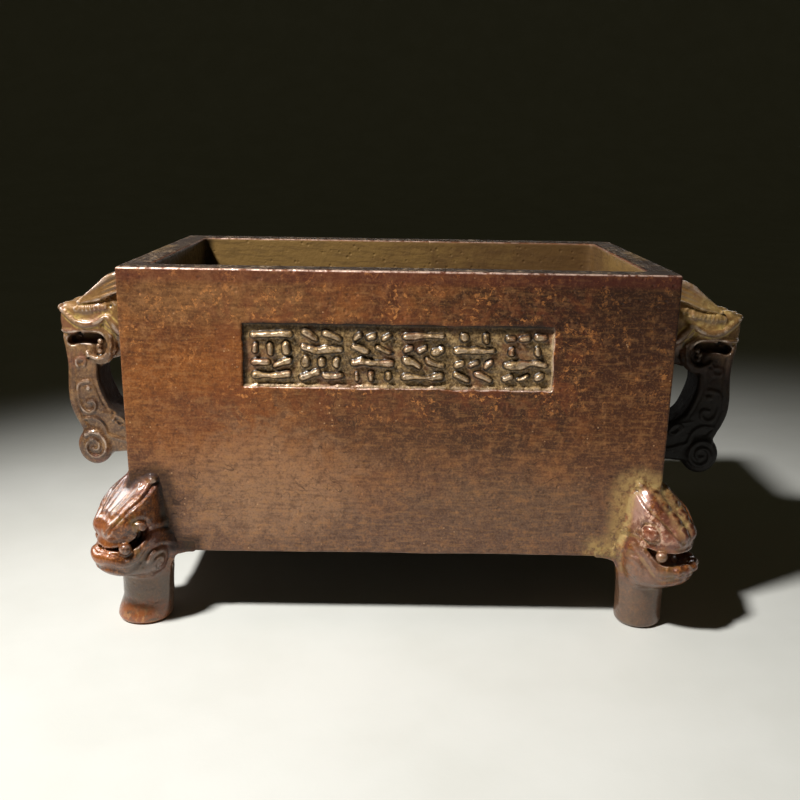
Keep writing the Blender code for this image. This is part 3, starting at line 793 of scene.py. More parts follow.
def stroke_bars():
    """The bars of the panel's strokes: middle, height, half length, angle."""
    length_of_all = 2 * PANEL_HALF - 1.6
    pitch = length_of_all / STROKE_GROUPS
    bars = []
    for index in range(STROKE_GROUPS):
        middle = -length_of_all / 2 + (index + 0.5) * pitch
        for row, up in enumerate(STROKE_ROWS):
            count = 1 + (index + 2 * row) % 3
            angle = STROKE_LEANS[(3 * index + 2 * row) % 5]
            length = (0.84, 0.80, 0.72)[count - 1] / count
            if angle == 90:
                length = 0.21
            elif count == 1:
                angle = angle / 6
            for place in range(count):
                across = (place - (count - 1) / 2) * 0.9 / count
                bars.append((middle + across * STROKE_FIELD, (PANEL_LOW + PANEL_HIGH) / 2 + up * STROKE_FIELD,
                             length * STROKE_FIELD / 2, math.radians(angle)))
    return bars


def panel_height(x, z):
    """How far the panel's surface stands in front of its ground."""
    spots = np.stack([x.ravel(), np.zeros(x.size), z.ravel()], 1)

    def uneven(*layers):
        return sum(share * noise(spots, size, shift) for share, size, shift in layers).reshape(x.shape)

    bend_x = x + uneven((0.6, 3.6, 1.7), (0.15, 1.3, 9.1))
    bend_z = z + uneven((0.6, 4.2, 5.2), (0.15, 1.2, 2.4))
    swell = uneven((0.3, 2.4, 12.0))
    gap = np.full(x.shape, 9.0)
    for middle, up, half, angle in stroke_bars():
        along = (bend_x - middle) * math.cos(angle) + (bend_z - up) * math.sin(angle)
        aside = (bend_z - up) * math.cos(angle) - (bend_x - middle) * math.sin(angle)
        end = np.maximum(np.abs(along) - max(half - 0.8, 0.1), 0.0)
        gap = smooth_min(gap, np.hypot(end, aside) - (0.98 + swell), 0.35)
    stroke = (1.15 + uneven((0.25, 4.5, 8.0), (0.12, 1.6, 3.0))) * (1.0 - ramp(-0.8, 0.25, gap))
    border = np.minimum(np.minimum(x + PANEL_HALF, PANEL_HALF - x), np.minimum(z - PANEL_LOW, PANEL_HIGH - z))
    fillet = 0.3 * (1.0 - ramp(-0.2, 0.8, border))
    # a worn slope along the bottom and the right, that catches the light
    ledge = 1.0 - ramp(-0.2, 1.0, np.minimum(z - PANEL_LOW, PANEL_HALF - x) + uneven((0.35, 2.0, 11.0)))
    ground = uneven((0.10, 2.4, 4.0), (0.07, 0.8, 6.0))
    return np.maximum(stroke, 0) + ground + np.maximum(fillet, 0.65 * ledge), gap, border, ledge


def panel_mesh(cell=0.26, spare=0.3, back=0.7):
    """The panel's ground and strokes as a thin closed plate, with its back face and its shapes."""
    nx = int(2 * (PANEL_HALF + spare) / cell)
    nz = int((PANEL_HIGH - PANEL_LOW + 2 * spare) / cell)
    x, z = np.meshgrid(np.linspace(-PANEL_HALF - spare, PANEL_HALF + spare, nx),
                       np.linspace(PANEL_LOW - spare, PANEL_HIGH + spare, nz), indexing="ij")
    height, *shapes = panel_height(x, z)
    front = np.stack([x, PANEL_GROUND - height, z], 2).reshape(-1, 3)
    index = np.arange(nx * nz).reshape(nx, nz)
    faces = np.stack([index[:-1, :-1], index[1:, :-1], index[1:, 1:], index[:-1, 1:]], 2).reshape(-1, 4)
    rim = np.concatenate([index[:-1, 0], index[-1, :-1], index[:0:-1, -1], index[0, :0:-1]])
    rim_points = front[rim]
    rim_points[:, 1] = PANEL_GROUND + back
    behind = nx * nz + np.arange(len(rim))
    sides = np.stack([rim, behind, np.roll(behind, -1), np.roll(rim, -1)], 1)
    shapes = [np.append(shape, np.full(len(rim), value)) for shape, value in zip(shapes, (9.0, 0.0, 0.0))]
    return np.concatenate([front, rim_points]), np.concatenate([faces, sides]), behind[::-1], *shapes


def paint(colour):
    """A colour given as 0-255 screen values."""
    shares = [value / 255.0 for value in colour]
    return tuple(s / 12.92 if s <= 0.04045 else ((s + 0.055) / 1.055) ** 2.4 for s in shares) + (1.0,)


class Surface:
    """Builds a material's nodes, in the burner's frame."""

    def __init__(self, name):
        self.material = bpy.data.materials.new(name)
        self.material.use_nodes = True
        self.tree = self.material.node_tree
        self.shader = self.tree.nodes["Principled BSDF"]
        self.place = self.node("ShaderNodeTexCoord").outputs["Object"]
        self.parts = self.node("ShaderNodeSeparateXYZ", {0: self.place}).outputs

    def node(self, kind, inputs=None, **settings):
        made = self.tree.nodes.new(kind)
        for name, value in settings.items():
            setattr(made, name, value)
        for name, value in (inputs or {}).items():
            self.put(made.inputs[name], value)
        return made

    def put(self, socket, value):
        if isinstance(value, bpy.types.NodeSocket):
            self.tree.links.new(value, socket)
        else:
            socket.default_value = value

    def math(self, operation, a, b=0.0, clamp=False):
        return self.node("ShaderNodeMath", {0: a, 1: b}, operation=operation, use_clamp=clamp).outputs[0]

    def times(self, *values):
        return reduce(lambda a, b: self.math("MULTIPLY", a, b), values)

    def most(self, a, b):
        return self.math("MAXIMUM", a, b)

    def flip(self, value):
        return self.math("SUBTRACT", 1.0, value)

    def between(self, value, low, high):
        """Rises softly from 0 at low to 1 at high."""
        inputs = {"Value": value, "From Min": low, "From Max": high}
        return self.node("ShaderNodeMapRange", inputs, interpolation_type="SMOOTHSTEP").outputs[0]

    def level(self, low, high):
        """Rises softly from 0 at one height to 1 at another."""
        return self.between(self.parts[2], low * MM, high * MM)

    def noise(self, size, detail=4.0, roughness=0.55, distortion=0.0, stretch=(1, 1, 1), shift=0.0):
        """Noise between 0 and 1 that changes over about size."""
        inputs = {"Vector": self.place, "Scale": stretch, "Location": (shift, shift, 0)}
        where = self.node("ShaderNodeMapping", inputs).outputs[0]
        inputs = {"Vector": where, "Scale": 1000.0 / size, "Detail": detail}
        inputs.update({"Roughness": roughness, "Distortion": distortion})
        return self.node("ShaderNodeTexNoise", inputs).outputs["Fac"]

    def spots(self, size, low, high, shift=0.0):
        """Round spots, 1 in their middles."""
        inputs = {"Vector": self.place, "Location": (shift, 0, shift)}
        where = self.node("ShaderNodeMapping", inputs).outputs[0]
        made = self.node("ShaderNodeTexVoronoi", {"Vector": where, "Scale": 1000.0 / size})
        return self.between(made.outputs["Distance"], high, low)

    def patch(self, centre, reach, ragged=0.5):
        """1 inside an oval round a place, 0 beyond its reach; ragged noise frays its outline."""
        inputs = {0: self.place, 1: [c * MM for c in centre]}
        offset = self.node("ShaderNodeVectorMath", inputs, operation="SUBTRACT")
        inputs = {0: offset.outputs[0], 1: [1.0 / (r * MM) for r in reach]}
        scaled = self.node("ShaderNodeVectorMath", inputs, operation="MULTIPLY")
        far = self.node("ShaderNodeVectorMath", {0: scaled.outputs[0]}, operation="LENGTH").outputs["Value"]
        frayed = self.math("ADD", far, self.times(self.math("SUBTRACT", ragged, 0.5), 1.6))
        return self.between(frayed, 1.0, 0.25)

    def mix(self, share, a, b):
        made = self.node("ShaderNodeMix", data_type="RGBA")
        for socket, value in zip((0, 6, 7), (share, a, b)):
            self.put(made.inputs[socket], value)
        return made.outputs[2]

    def attribute(self, name):
        return self.node("ShaderNodeAttribute", attribute_name=name).outputs["Fac"]

    def bump(self, height, depth, normal=None):
        inputs = {"Height": height, "Distance": depth * MM}
        if normal is not None:
            inputs["Normal"] = normal
        return self.node("ShaderNodeBump", inputs).outputs[0]

    def set(self, **values):
        for name, value in values.items():
            self.put(self.shader.inputs[name.replace("_", " ")], value)


class Copper(Surface):
    """Cast copper with its patina. The layers are laid on one after another, in 0-255 screen colours."""

    def __init__(self, name, dark, middle, light):
        super().__init__(name)
        self.medium = self.noise(6.5, 6.0, 0.62, 0.8, shift=0.31)
        self.small = self.noise(1.7, 5.0, 0.62, shift=0.13)
        self.fine = self.noise(0.6, 3.0, 0.6, shift=0.77)
        broad = self.between(self.noise(30.0, 5.0, 0.6, 0.6), 0.36, 0.64)
        self.colour = self.mix(broad, paint(dark), paint(middle))
        self.lay(self.between(self.medium, 0.48, 0.68), 0.55, light)
        self.lay(self.between(self.medium, 0.46, 0.30), 0.45, dark)
        self.pits = self.spots(2.6, 0.05, 0.26)

    def lay(self, where, share, colour):
        """Lays a colour over the skin."""
        colour = paint(colour) if isinstance(colour, tuple) else colour
        self.colour = self.mix(self.times(where, share), self.colour, colour)

    def stain_and_light(self, centre, reach, share, colour):
        """Lays a patch with a frayed outline."""
        self.lay(self.patch(centre, reach, self.medium), share, colour)

    def speckle(self, dark, light, share):
        """Fine grain in both directions."""
        self.lay(self.between(self.small, 0.50, 0.66), share * 0.8, light)
        self.lay(self.between(self.small, 0.50, 0.34), share, dark)
        self.lay(self.between(self.fine, 0.50, 0.66), share * 0.7, light)
        self.lay(self.between(self.fine, 0.50, 0.36), share * 0.8, dark)

    def soil_and_shade(self, dust_and_light, deep):
        """Dust and soot in the hollows and along the seams, and painted shade and painted light laid with the
        same colours.
        """
        patchy = self.between(self.noise(2.2, 5.0, 0.68, shift=0.6), 0.30, 0.58)
        self.dust_and_light_cover = self.times(self.attribute("dust_and_light"), patchy)
        self.lay(self.dust_and_light_cover, 0.9, dust_and_light)
        hollow = self.between(self.attribute("crevice"), 0.4, 1.0)
        self.lay(self.times(hollow, self.flip(self.times(self.dust_and_light_cover, 0.7))), 0.97, deep)
        self.lay(self.attribute("soot_and_shade"), 0.93, deep)

    def wear_and_highlight(self, worn, low, high, share):
        """Bright metal on the edges: wear where hands have touched them, and painted highlights where edges
        catch the lamp.
        """
        broken = self.between(self.noise(2.6, 5.0, 0.7, shift=0.45), 0.38, 0.60)
        self.worn_and_highlit = self.times(self.between(self.attribute("edge"), low, high), broken)
        self.lay(self.worn_and_highlit, share, worn)

    def finish(self, rough, metal, grain, coat=0.0):
        """Sets the gloss and the skin's fine relief."""
        dull = self.math("ADD", self.dust_and_light_cover, self.attribute("soot_and_shade"), clamp=True)
        gloss = self.math("ADD", self.times(self.math("SUBTRACT", self.small, 0.5), 0.4), rough)
        gloss = self.math("ADD", gloss, self.times(dull, 0.4))
        gloss = self.math("SUBTRACT", gloss, self.times(self.worn_and_highlit, 0.15), clamp=True)
        clean = self.flip(dull)
        normal = self.bump(self.small, grain)
        normal = self.bump(self.fine, 0.05, normal)
        normal = self.bump(self.flip(self.pits), 0.12, normal)
        shine = self.most(self.times(clean, metal), self.times(self.worn_and_highlit, 0.6))
        self.set(Base_Color=self.colour, Roughness=gloss, Normal=normal, Metallic=shine)
        self.set(Specular_IOR_Level=0.35)
        if coat > 0:
            self.set(Coat_Weight=self.times(clean, coat), Coat_Roughness=0.15)
        return self.material


# broad patches of the front's patina: middle, reach, share, colour
BODY_PATCHES = (
    ((-46, -44, 66), (50, 40, 30), 0.60, (160, 90, 32)),
    ((-50, -44, 94), (40, 40, 10), 0.60, (146, 102, 60)),
    ((-54, -44, 62), (24, 40, 10), 0.55, (104, 60, 40)),
    ((-20, -44, 48), (24, 40, 12), 0.45, (158, 96, 48)),
    ((8, -44, 60), (64, 40, 20), 0.68, (74, 50, 34)),
    ((70, -44, 98), (84, 40, 42), 0.93, (36, 18, 10)),
    ((66, -44, 66), (46, 40, 36), 0.75, (70, 36, 20)),
    ((25, -44, 61), (24, 40, 14), 0.50, (58, 36, 22)),
    ((30, -44, 36), (40, 40, 12), 0.40, (128, 102, 72)),
)
# the front feet's patches: an orange snout and toe at the left, a pink lobe and dark nose at the right; some
# are painted light, as marked
FOOT_PATCHES = (
    ((-86, -56, 28), (14, 14, 16), 0.6, (186, 104, 42)),
    ((-66, -52, 19), (13, 9, 9), 0.65, (104, 90, 80)),
    # painted shade on the left head's side by the wall
    ((-60, -49, 33), (9, 9, 15), 0.75, (60, 33, 22)),
    # painted shade on the right side of the left shank
    ((-64, -38, 8), (5, 12, 16), 0.7, (52, 42, 36)),
    ((76, -55, 33), (9, 8, 13), 0.65, (164, 108, 92)),
    ((71, -52, 31), (5, 6, 4), 0.5, (172, 98, 54)),
    # painted highlight down the right foot's lobe
    ((68, -47, 38), (4, 6, 8), 0.6, (206, 166, 152)),
    ((74, -54, 25), (3, 4, 3), 0.8, (132, 98, 60)),
    ((68, -51, 19), (12, 9, 9), 0.65, (134, 102, 84)),
    # painted shade on the right side of the right shank
    ((80, -46, 6), (6, 9, 15), 0.65, (62, 56, 56)),
)


def trough_copper():
    s = Copper("copper_body", (94, 52, 26), (136, 82, 40), (166, 106, 52))
    brush = s.noise(0.9, 4.0, 0.6, 0.3, stretch=(0.14, 0.14, 1.0), shift=0.7)
    # painted reflection of the pale floor: the front greyer towards the bottom
    s.lay(s.level(62.0, 26.0), 0.68, (124, 98, 78))
    for size, share in ((17.0, 0.45), (5.5, 0.3)):
        blotches = s.noise(size, 4.0, 0.6, 1.0, shift=0.83)
        s.lay(s.between(blotches, 0.52, 0.62), share, (94, 48, 30))
        s.lay(s.between(blotches, 0.47, 0.37), share, (166, 100, 46))
    for patch in BODY_PATCHES:
        s.stain_and_light(*patch)
    # painted reflection of the pale floor again over the patches, lighter at the lower left
    s.lay(s.level(62.0, 26.0), 0.72, (112, 86, 72))
    s.stain_and_light((-36, -44, 42), (34, 40, 24), 0.5, (186, 142, 106))
    s.speckle((72, 42, 27), (178, 124, 78), 0.42)
    s.lay(s.between(brush, 0.50, 0.66), 0.3, (78, 46, 26))
    s.lay(s.between(brush, 0.50, 0.34), 0.3, (172, 122, 72))
    # orange flecks round the panel and high up
    bloom = s.attribute("bloom")
    s.lay(s.times(bloom, s.between(s.medium, 0.42, 0.62)), 0.45, (112, 52, 30))
    flecks = s.between(s.noise(1.4, 6.0, 0.75, 0.4, shift=0.2), 0.54, 0.62)
    clusters = s.between(s.noise(8.0, 3.0, shift=0.5), 0.44, 0.56)
    high = s.times(s.level(54.0, 82.0), 0.8)
    s.lay(s.times(s.most(bloom, high), clusters, flecks), 0.8, (216, 142, 78))
    s.stain_and_light((84, -44, 100), (64, 40, 30), 0.55, (46, 24, 15))
    # chips and hair lines
    chips = s.times(s.spots(2.3, 0.03, 0.15, 0.4), s.between(s.noise(12.0, 3.0, shift=0.9), 0.54, 0.62))
    s.lay(chips, 0.7, (220, 170, 124))
    line = s.noise(14.0, 2.0, 0.5, 1.2, shift=0.35)
    hairs = s.times(s.between(line, 0.500, 0.506), s.between(line, 0.512, 0.506))
    s.lay(s.times(hairs, s.between(s.noise(20.0, 2.0, shift=0.15), 0.56, 0.62)), 0.7, (58, 38, 26))
    s.lay(s.level(97.2, 99.6), 0.45, (98, 44, 34))
    # the cavity: painted shade on its left wall, which faces away from the key lamp, and darker low down
    inside = s.attribute("inside")
    s.lay(inside, 1.0, s.mix(s.level(97.0, 62.0), paint((154, 120, 68)), paint((40, 31, 22))))
    s.lay(s.times(inside, s.patch((-68, 0, 90), (4, 300, 160))), 1.0, (12, 9, 6))
    s.lay(s.times(inside, s.between(brush, 0.44, 0.62)), 0.35, (92, 70, 44))
    s.lay(s.times(inside, s.patch((60, 37, 96), (70, 30, 60), s.medium)), 0.6, (96, 66, 44))
    # the rim's top painted dark, as a painted reflection of the dark room, with painted glints
    rim = s.attribute("rim")
    s.lay(rim, 0.95, (42, 31, 22))
    painted_glints = s.between(s.noise(1.6, 5.0, 0.72, 0.5, shift=0.66), 0.51, 0.60)
    s.lay(s.times(rim, painted_glints, s.between(s.medium, 0.44, 0.56)), 0.7, (182, 154, 122))
    s.soil_and_shade((186, 152, 98), (26, 17, 12))
    s.wear_and_highlight((250, 216, 196), 0.05, 0.95, 0.95)
    s.lay(s.attribute("under"), 0.95, (30, 24, 19))
    return s.finish(0.5, 0.1, 0.18)


def foot_copper():
    s = Copper("copper_feet", (66, 36, 22), (116, 64, 34), (170, 96, 44))
    s.speckle((46, 26, 16), (186, 120, 62), 0.6)
    s.lay(s.between(s.noise(7.0, 4.0, shift=0.22), 0.52, 0.64), 0.55, (128, 100, 50))
    s.lay(s.between(s.noise(9.0, 4.0, shift=0.62), 0.54, 0.64), 0.45, (112, 66, 62))
    for patch in FOOT_PATCHES:
        s.stain_and_light(*patch)
    # pale painted highlights and dark flecks round the right foot's eye
    curls = s.patch((70, -52, 32), (9, 9, 9))
    s.lay(s.times(curls, s.between(s.small, 0.51, 0.60)), 0.7, (236, 196, 170))
    s.lay(s.times(curls, s.between(s.small, 0.49, 0.40)), 0.6, (104, 48, 24))
    s.lay(s.attribute("knob"), 0.85, (66, 35, 19))
    shank = s.level(18.0, 12.5)
    s.lay(shank, 0.7, (104, 85, 70))
    s.lay(s.times(shank, s.between(s.medium, 0.5, 0.64)), 0.45, (82, 60, 44))
    toe = s.patch((-74, -48, 0), (16, 14, 9), s.small)
    s.lay(s.times(toe, s.between(s.medium, 0.34, 0.50)), 0.8, (158, 86, 40))
    s.lay(s.times(toe, s.between(s.small, 0.52, 0.62)), 0.6, (206, 142, 84))
    s.soil_and_shade((180, 152, 98), (18, 11, 8))
    s.wear_and_highlight((236, 204, 186), 0.3, 1.0, 0.6)
    return s.finish(0.34, 0.15, 0.3, 0.75)


def handle_copper():
    s = Copper("copper_handles", (84, 56, 38), (134, 98, 68), (176, 134, 84))
    s.speckle((60, 41, 29), (190, 148, 98), 0.35)
    s.lay(s.level(74.0, 84.0), 0.5, (166, 124, 68))
    s.lay(s.between(s.noise(7.0, 4.0, shift=0.22), 0.52, 0.62), 0.5, (128, 76, 62))
    s.soil_and_shade((204, 172, 96), (20, 13, 9))
    s.wear_and_highlight((244, 220, 200), 0.1, 0.8, 0.75)
    # the right handle: an ochre head with pale flecks that are partly painted highlights, over a neck and
    # strap painted dark as painted shade, where the trough keeps the key lamp off them
    s.stain_and_light((97, 0, 88), (16, 16, 8), 0.75, (214, 178, 110))
    head = s.patch((98, 0, 86), (18, 18, 11))
    s.lay(s.times(head, s.between(s.small, 0.51, 0.61)), 0.5, (244, 212, 146))
    s.lay(s.times(head, s.between(s.medium, 0.51, 0.40)), 0.7, (84, 54, 32))
    s.stain_and_light((78, 0, 84), (10, 20, 9), 0.8, (44, 29, 19))
    s.lay(s.patch((92, 0, 40), (60, 40, 44)), 0.95, (17, 12, 9))
    return s.finish(0.38, 0.15, 0.25, 0.65)


def panel_copper():
    s = Copper("copper_panel", (108, 82, 52), (146, 116, 76), (176, 140, 92))
    s.speckle((48, 33, 22), (208, 172, 120), 0.75)
    s.lay(s.between(s.noise(9.0, 4.0, shift=0.22), 0.50, 0.62), 0.55, (124, 70, 50))
    s.soil_and_shade((150, 128, 78), (34, 24, 16))
    s.wear_and_highlight((240, 210, 176), 0.15, 0.85, 0.7)
    return s.finish(0.36, 0.2, 0.25, 0.5)


def make_piece(name, points, faces, attributes, material, back=()):
    """Turns points and four-sided faces, and one back face of many corners, into a piece of the burner."""
    sizes = [len(back)] if len(back) else []
    counts = np.concatenate([np.full(len(faces), 4), sizes]).astype(np.int32)
    corners = np.concatenate([faces.ravel(), back]).astype(np.int32)
    mesh = bpy.data.meshes.new(name)
    mesh.vertices.add(len(points))
    mesh.vertices.foreach_set("co", (points * MM).astype(np.float32).ravel())
    mesh.loops.add(len(corners))
    mesh.loops.foreach_set("vertex_index", corners)
    mesh.polygons.add(len(counts))
    mesh.polygons.foreach_set("loop_start", np.concatenate([[0], np.cumsum(counts)[:-1]]).astype(np.int32))
    mesh.polygons.foreach_set("use_smooth", np.ones(len(counts), bool))
    mesh.update(calc_edges=True)
    mesh.validate()
    for key, values in attributes.items():
        layer = mesh.attributes.new(key, "FLOAT", "POINT")
        layer.data.foreach_set("value", np.asarray(values, np.float32))
    mesh.materials.append(material)
    piece = bpy.data.objects.new(name, mesh)
    bpy.context.scene.collection.objects.link(piece)
    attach(piece, "root")
    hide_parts(NODE)


def rough_cast(points, normals, seed, amount):
    """Moves places in and out a little, as an uneven casting."""
    height = 0.5 * noise(points, 4.0, seed) + 0.3 * noise(points, 1.7, seed + 3.7)
    height = height + 0.5 * noise(points, 11.0, seed + 1.3)
    return points + normals * (height * amount)[:, None]


def skinned(clay, wall):
    """The clay's skin, how deep its hollows and sharp its edges are, its slope and its gap to the trough."""
    points, faces = clay.mesh()
    slope = unit(clay.normals(points))
    height = relief(points, faces, slope)
    gap = wall(*points.T)
    crevice = ramp(0.01, -0.2, height)
    edge = ramp(0.05, 0.22, height) * ramp(0.3, 1.3, gap) * ramp(0.1, 0.9, points[:, 2])
    return points, faces, crevice, edge, slope, gap


def place_foot(points, side, front):
    """Takes places from a foot's frame to its corner of the trough."""
    x = side * (HALF_LENGTH + (points[:, 0] + points[:, 1]) * SLANT)
    y = front * (-HALF_WIDTH + (points[:, 1] - points[:, 0]) * SLANT)
    return np.stack([x, y, np.maximum(points[:, 2], 0.0)], 1)


def gap_to(others, points, most):
    """Distance from each place to the nearest of some others, up to a most."""
    low, high = others.min(0) - most, others.max(0) + most
    tree = KDTree(len(others))
    for index, place in enumerate(others):
        tree.insert(place, index)
    tree.balance()
    gaps = np.full(len(points), most)
    for index in np.flatnonzero(((points > low) & (points < high)).all(1)):
        gaps[index] = min(tree.find(points[index])[2], most)
    return gaps


# side, front or back, style, dust and soot where the foot meets the trough
FEET = {
    "foot_front_left": (-1, 1, "shut", 0.0, 0.9),
    "foot_front_right": (1, 1, "open", 1.0, 0.0),
    "foot_back_left": (-1, -1, "open", 0.6, 0.2),
    "foot_back_right": (1, -1, "shut", 0.5, 0.3),
}
# side, and how much longer the handle is than the carved one
HANDLES = {"handle_left": (-1, 1.0), "handle_right": (1, 1.05)}
# how far dust and soot reach over the trough from a seam
SEAM_DUST = 4.0
SEAM_SOOT = 2.6
# the camera's place, its turns to the right, down and about its own axis in degrees, and its lens
CAMERA_PLACE = (-0.15, -280.91, 133.21)
CAMERA_TURNS = (0.22, 15.66, 0.93)
CAMERA_LENS = 40.5
# colour of the fill lights
WARM = (1.0, 0.97, 0.93)
# each foot's and handle's places, dust and soot, kept for the trough's seams
seams = []


def add_feet():
    skin = foot_copper()
    clays = {}
    for style in STYLES:
        clays[style] = whole(sculpt_foot(style))
        weld(clays[style], foot_wall, lambda z: 1.5 + 1.2 * ramp(24.0, 19.0, z), 1.6)
    for name, (side, front, style, dusty, sooty) in FEET.items():
        points, faces, crevice, edge, slope, gap = skinned(clays[style], foot_wall)
        points = rough_cast(points, slope, 5.1 * side + 2.3 * front, 0.12)
        height = points[:, 2]
        contact = (1.0 - ramp(0.2, 2.4, gap)) * ramp(19.0, 22.0, height)
        strip = ramp(27.0, 34.0, height) * ramp(5.0, 3.5, np.abs(points[:, 1]))
        hollows = ramp(0.05, 0.4, crevice) * ramp(14.0, 19.0, height)
        valley = 0.5 * (style == "open") * strip * ramp(0.1, 0.0, edge)
        dust_and_light = dusty * highest(contact, hollows * (0.35 + 0.65 * strip), valley)
        knob = (style == "open") * strip * ramp(0.0, 0.25, edge)
        placed = place_foot(points, side, front)
        shading = {"crevice": crevice, "edge": edge * (1 - 0.7 * knob), "dust_and_light": dust_and_light}
        shading.update({"soot_and_shade": sooty * contact, "knob": knob})
        make_piece(name, placed, faces[:, ::side * front], shading, skin)
        seams.append((placed, dusty, sooty))


def add_handles():
    skin = handle_copper()
    clay = whole(sculpt_handle())
    weld(clay, handle_wall, 1.8)
    for name, (side, stretch) in HANDLES.items():
        points, faces, crevice, edge, slope, gap = skinned(clay, handle_wall)
        points = rough_cast(points, slope, 3.3 * side, 0.09)
        x, y, z = points.T
        contact = 1.0 - ramp(0.3, 2.0, gap)
        # painted shade, laid with the soot colour: the inside of the strap's loop, the mouth, and the right
        # handle's neck and strap, which the trough shades from the key lamp
        loop = ramp(70.0, 66.0, z) * ramp(21.0, 19.0, x) * ramp(45.0, 47.0, z)
        loop = loop * ramp(0.0, -0.5, slope[:, 0] - 0.6 * slope[:, 2])
        mouth = ramp(76.5, 75.5, z) * ramp(7.2, 6.2, np.abs(y)) * ramp(72.0, 73.0, z) * ramp(16.5, 18.5, x)
        mouth = mouth * ramp(28.4, 27.0, x)
        head = ramp(73.0, 79.0, z) * ramp(88.5, 85.5, z)
        dust_and_light = np.maximum(0.6 * contact, head * ramp(0.05, 0.45, crevice))
        shaded = 0.8 * (side > 0) * ramp(77.0, 70.0, z)
        soot_and_shade = highest(loop, 0.8 * mouth, shaded)
        placed = points * np.array([side * stretch, 1, 1]) + np.array([side * HALF_LENGTH, 0, 0])
        shading = {"crevice": crevice, "edge": edge * (1 - loop) * (1 - shaded), "dust_and_light": dust_and_light, "soot_and_shade": soot_and_shade}
        make_piece(name, placed, faces[:, ::side], shading, skin)
        seams.append((placed, 0.5, 0.3))


def add_trough():
    points, faces = trough_mesh()
    slope = unit(slope_of(trough_distance, points, 0.3))
    x, y, z = points.T
    leans = slope * slope
    outer = (np.abs(x) > HALF_LENGTH - 1.5) | (np.abs(y) > HALF_WIDTH - 1.5)
    # bare metal along the edges, partly wear and partly painted highlight: most at the front of the rim,
    # fading towards the right, least where nobody touches them
    flat_edge = ramp(0.2, 0.9, 4.0 * leans[:, 2] * (1.0 - leans[:, 2]))
    corner_edge = ramp(0.3, 0.9, 4.0 * leans[:, 0] * leans[:, 1]) * (np.abs(x) > HALF_LENGTH - 1.5)
    outside = np.where(y < 1.5 - HALF_WIDTH, 1.0, 0.55)
    share = np.where(outer, outside, np.where(y > 0.3 * HALF_WIDTH, 0.5, 0.25))
    share = share * (1.0 - 0.35 * ramp(0.0, HALF_LENGTH, x))
    edge = np.where(z > TOP - 1.5, share, 0.3 * (z < UNDERSIDE + 1.5)) * flat_edge + 0.16 * corner_edge
    crevice = ramp(-0.02, -0.14, relief(points, faces, slope)) * (1.0 - edge)
    dust_and_light = np.zeros(len(points))
    soot_and_shade = np.zeros(len(points))
    for placed, dusty, sooty in seams:
        gap = gap_to(placed, points, SEAM_DUST)
        dust_and_light = np.maximum(dust_and_light, dusty * (1.0 - ramp(0.2, SEAM_DUST, gap)))
        soot_and_shade = np.maximum(soot_and_shade, 0.8 * sooty * (1.0 - ramp(0.2, SEAM_SOOT, gap)))
    panel_gap = highest(PANEL_LOW - z, z - PANEL_HIGH, np.abs(x) - PANEL_HALF)
    bloom = (1.0 - ramp(0.0, 18.0, panel_gap)) * (y < 0.5 - HALF_WIDTH)
    frame_edge = (np.abs(panel_gap) < 2.0) & (y < PANEL_GROUND + 0.1)
    # painted highlight: the edges of the panel's frame that face up and to the left, towards the key lamp,
    # get bright metal
    ledge = np.clip(1.1 * slope[:, 2] - 0.8 * slope[:, 0], 0.0, 1.0)
    edge = np.where(frame_edge, ramp(0.25, 0.85, ledge), edge)
    within = (np.abs(x) < HALF_LENGTH - WALL + 0.6) & (np.abs(y) < HALF_WIDTH - WALL + 0.6)
    inside = within * ramp(TOP - 0.2, TOP - 0.8, z) * (z > FLOOR_TOP - 1.0)
    rim = ramp(0.75, 0.95, slope[:, 2]) * (z > TOP - 0.6)
    under = ramp(-0.7, -0.95, slope[:, 2]) * (z < UNDERSIDE + 1.0)
    crevice = crevice * (1.0 - 0.9 * inside)
    uneven = 0.07 * noise(points, 24.0, 2.2) + 0.04 * noise(points, 6.0, 5.5)
    nicks = np.maximum(noise(points, 3.4, 9.4) - 0.25, 0.0) * edge * 0.9
    points = points + slope * (uneven - nicks)[:, None]
    sag = 0.25 * noise(points * (1, 1, 0), 17.0, 4.4)
    points[:, 2] += sag * ramp(UNDERSIDE + 12.0, UNDERSIDE, points[:, 2])
    shading = {"crevice": crevice, "edge": edge, "dust_and_light": dust_and_light, "soot_and_shade": soot_and_shade, "bloom": bloom}
    shading.update({"inside": inside, "rim": rim, "under": under})
    make_piece("trough", points, faces, shading, trough_copper())


def add_panel():
    points, faces, back, gap, border, ledge = panel_mesh()
    # bright metal on the strokes' tops and on the ledge along the bottom and right, partly wear and partly
    # painted highlight
    edge = np.maximum(ramp(-0.3, -0.75, gap), 0.8 * ledge)
    crevice = np.maximum(ramp(0.5, 0.1, gap) * ramp(-0.5, -0.1, gap), ramp(0.9, 0.2, border))
    # painted light: the right side of the ledge, which faces the key lamp, lit with the dust colour
    lit_side = ledge * ramp(PANEL_HALF - 2.0, PANEL_HALF - 0.5, points[:, 0])
    # painted shadow along the pocket's top and left edges, laid with the soot colour
    shadow = np.maximum(ramp(2.4, 1.2, PANEL_HIGH - points[:, 2]), ramp(1.8, 0.6, points[:, 0] + PANEL_HALF))
    dust_and_light = np.maximum(0.1 * (1 - edge), 0.8 * lit_side)
    crevice = crevice * (1.0 - ledge)
    shading = {"crevice": crevice, "edge": edge, "dust_and_light": dust_and_light, "soot_and_shade": 0.6 * shadow * (1 - ledge)}
    make_piece("panel_strokes", points, faces, shading, panel_copper(), back)


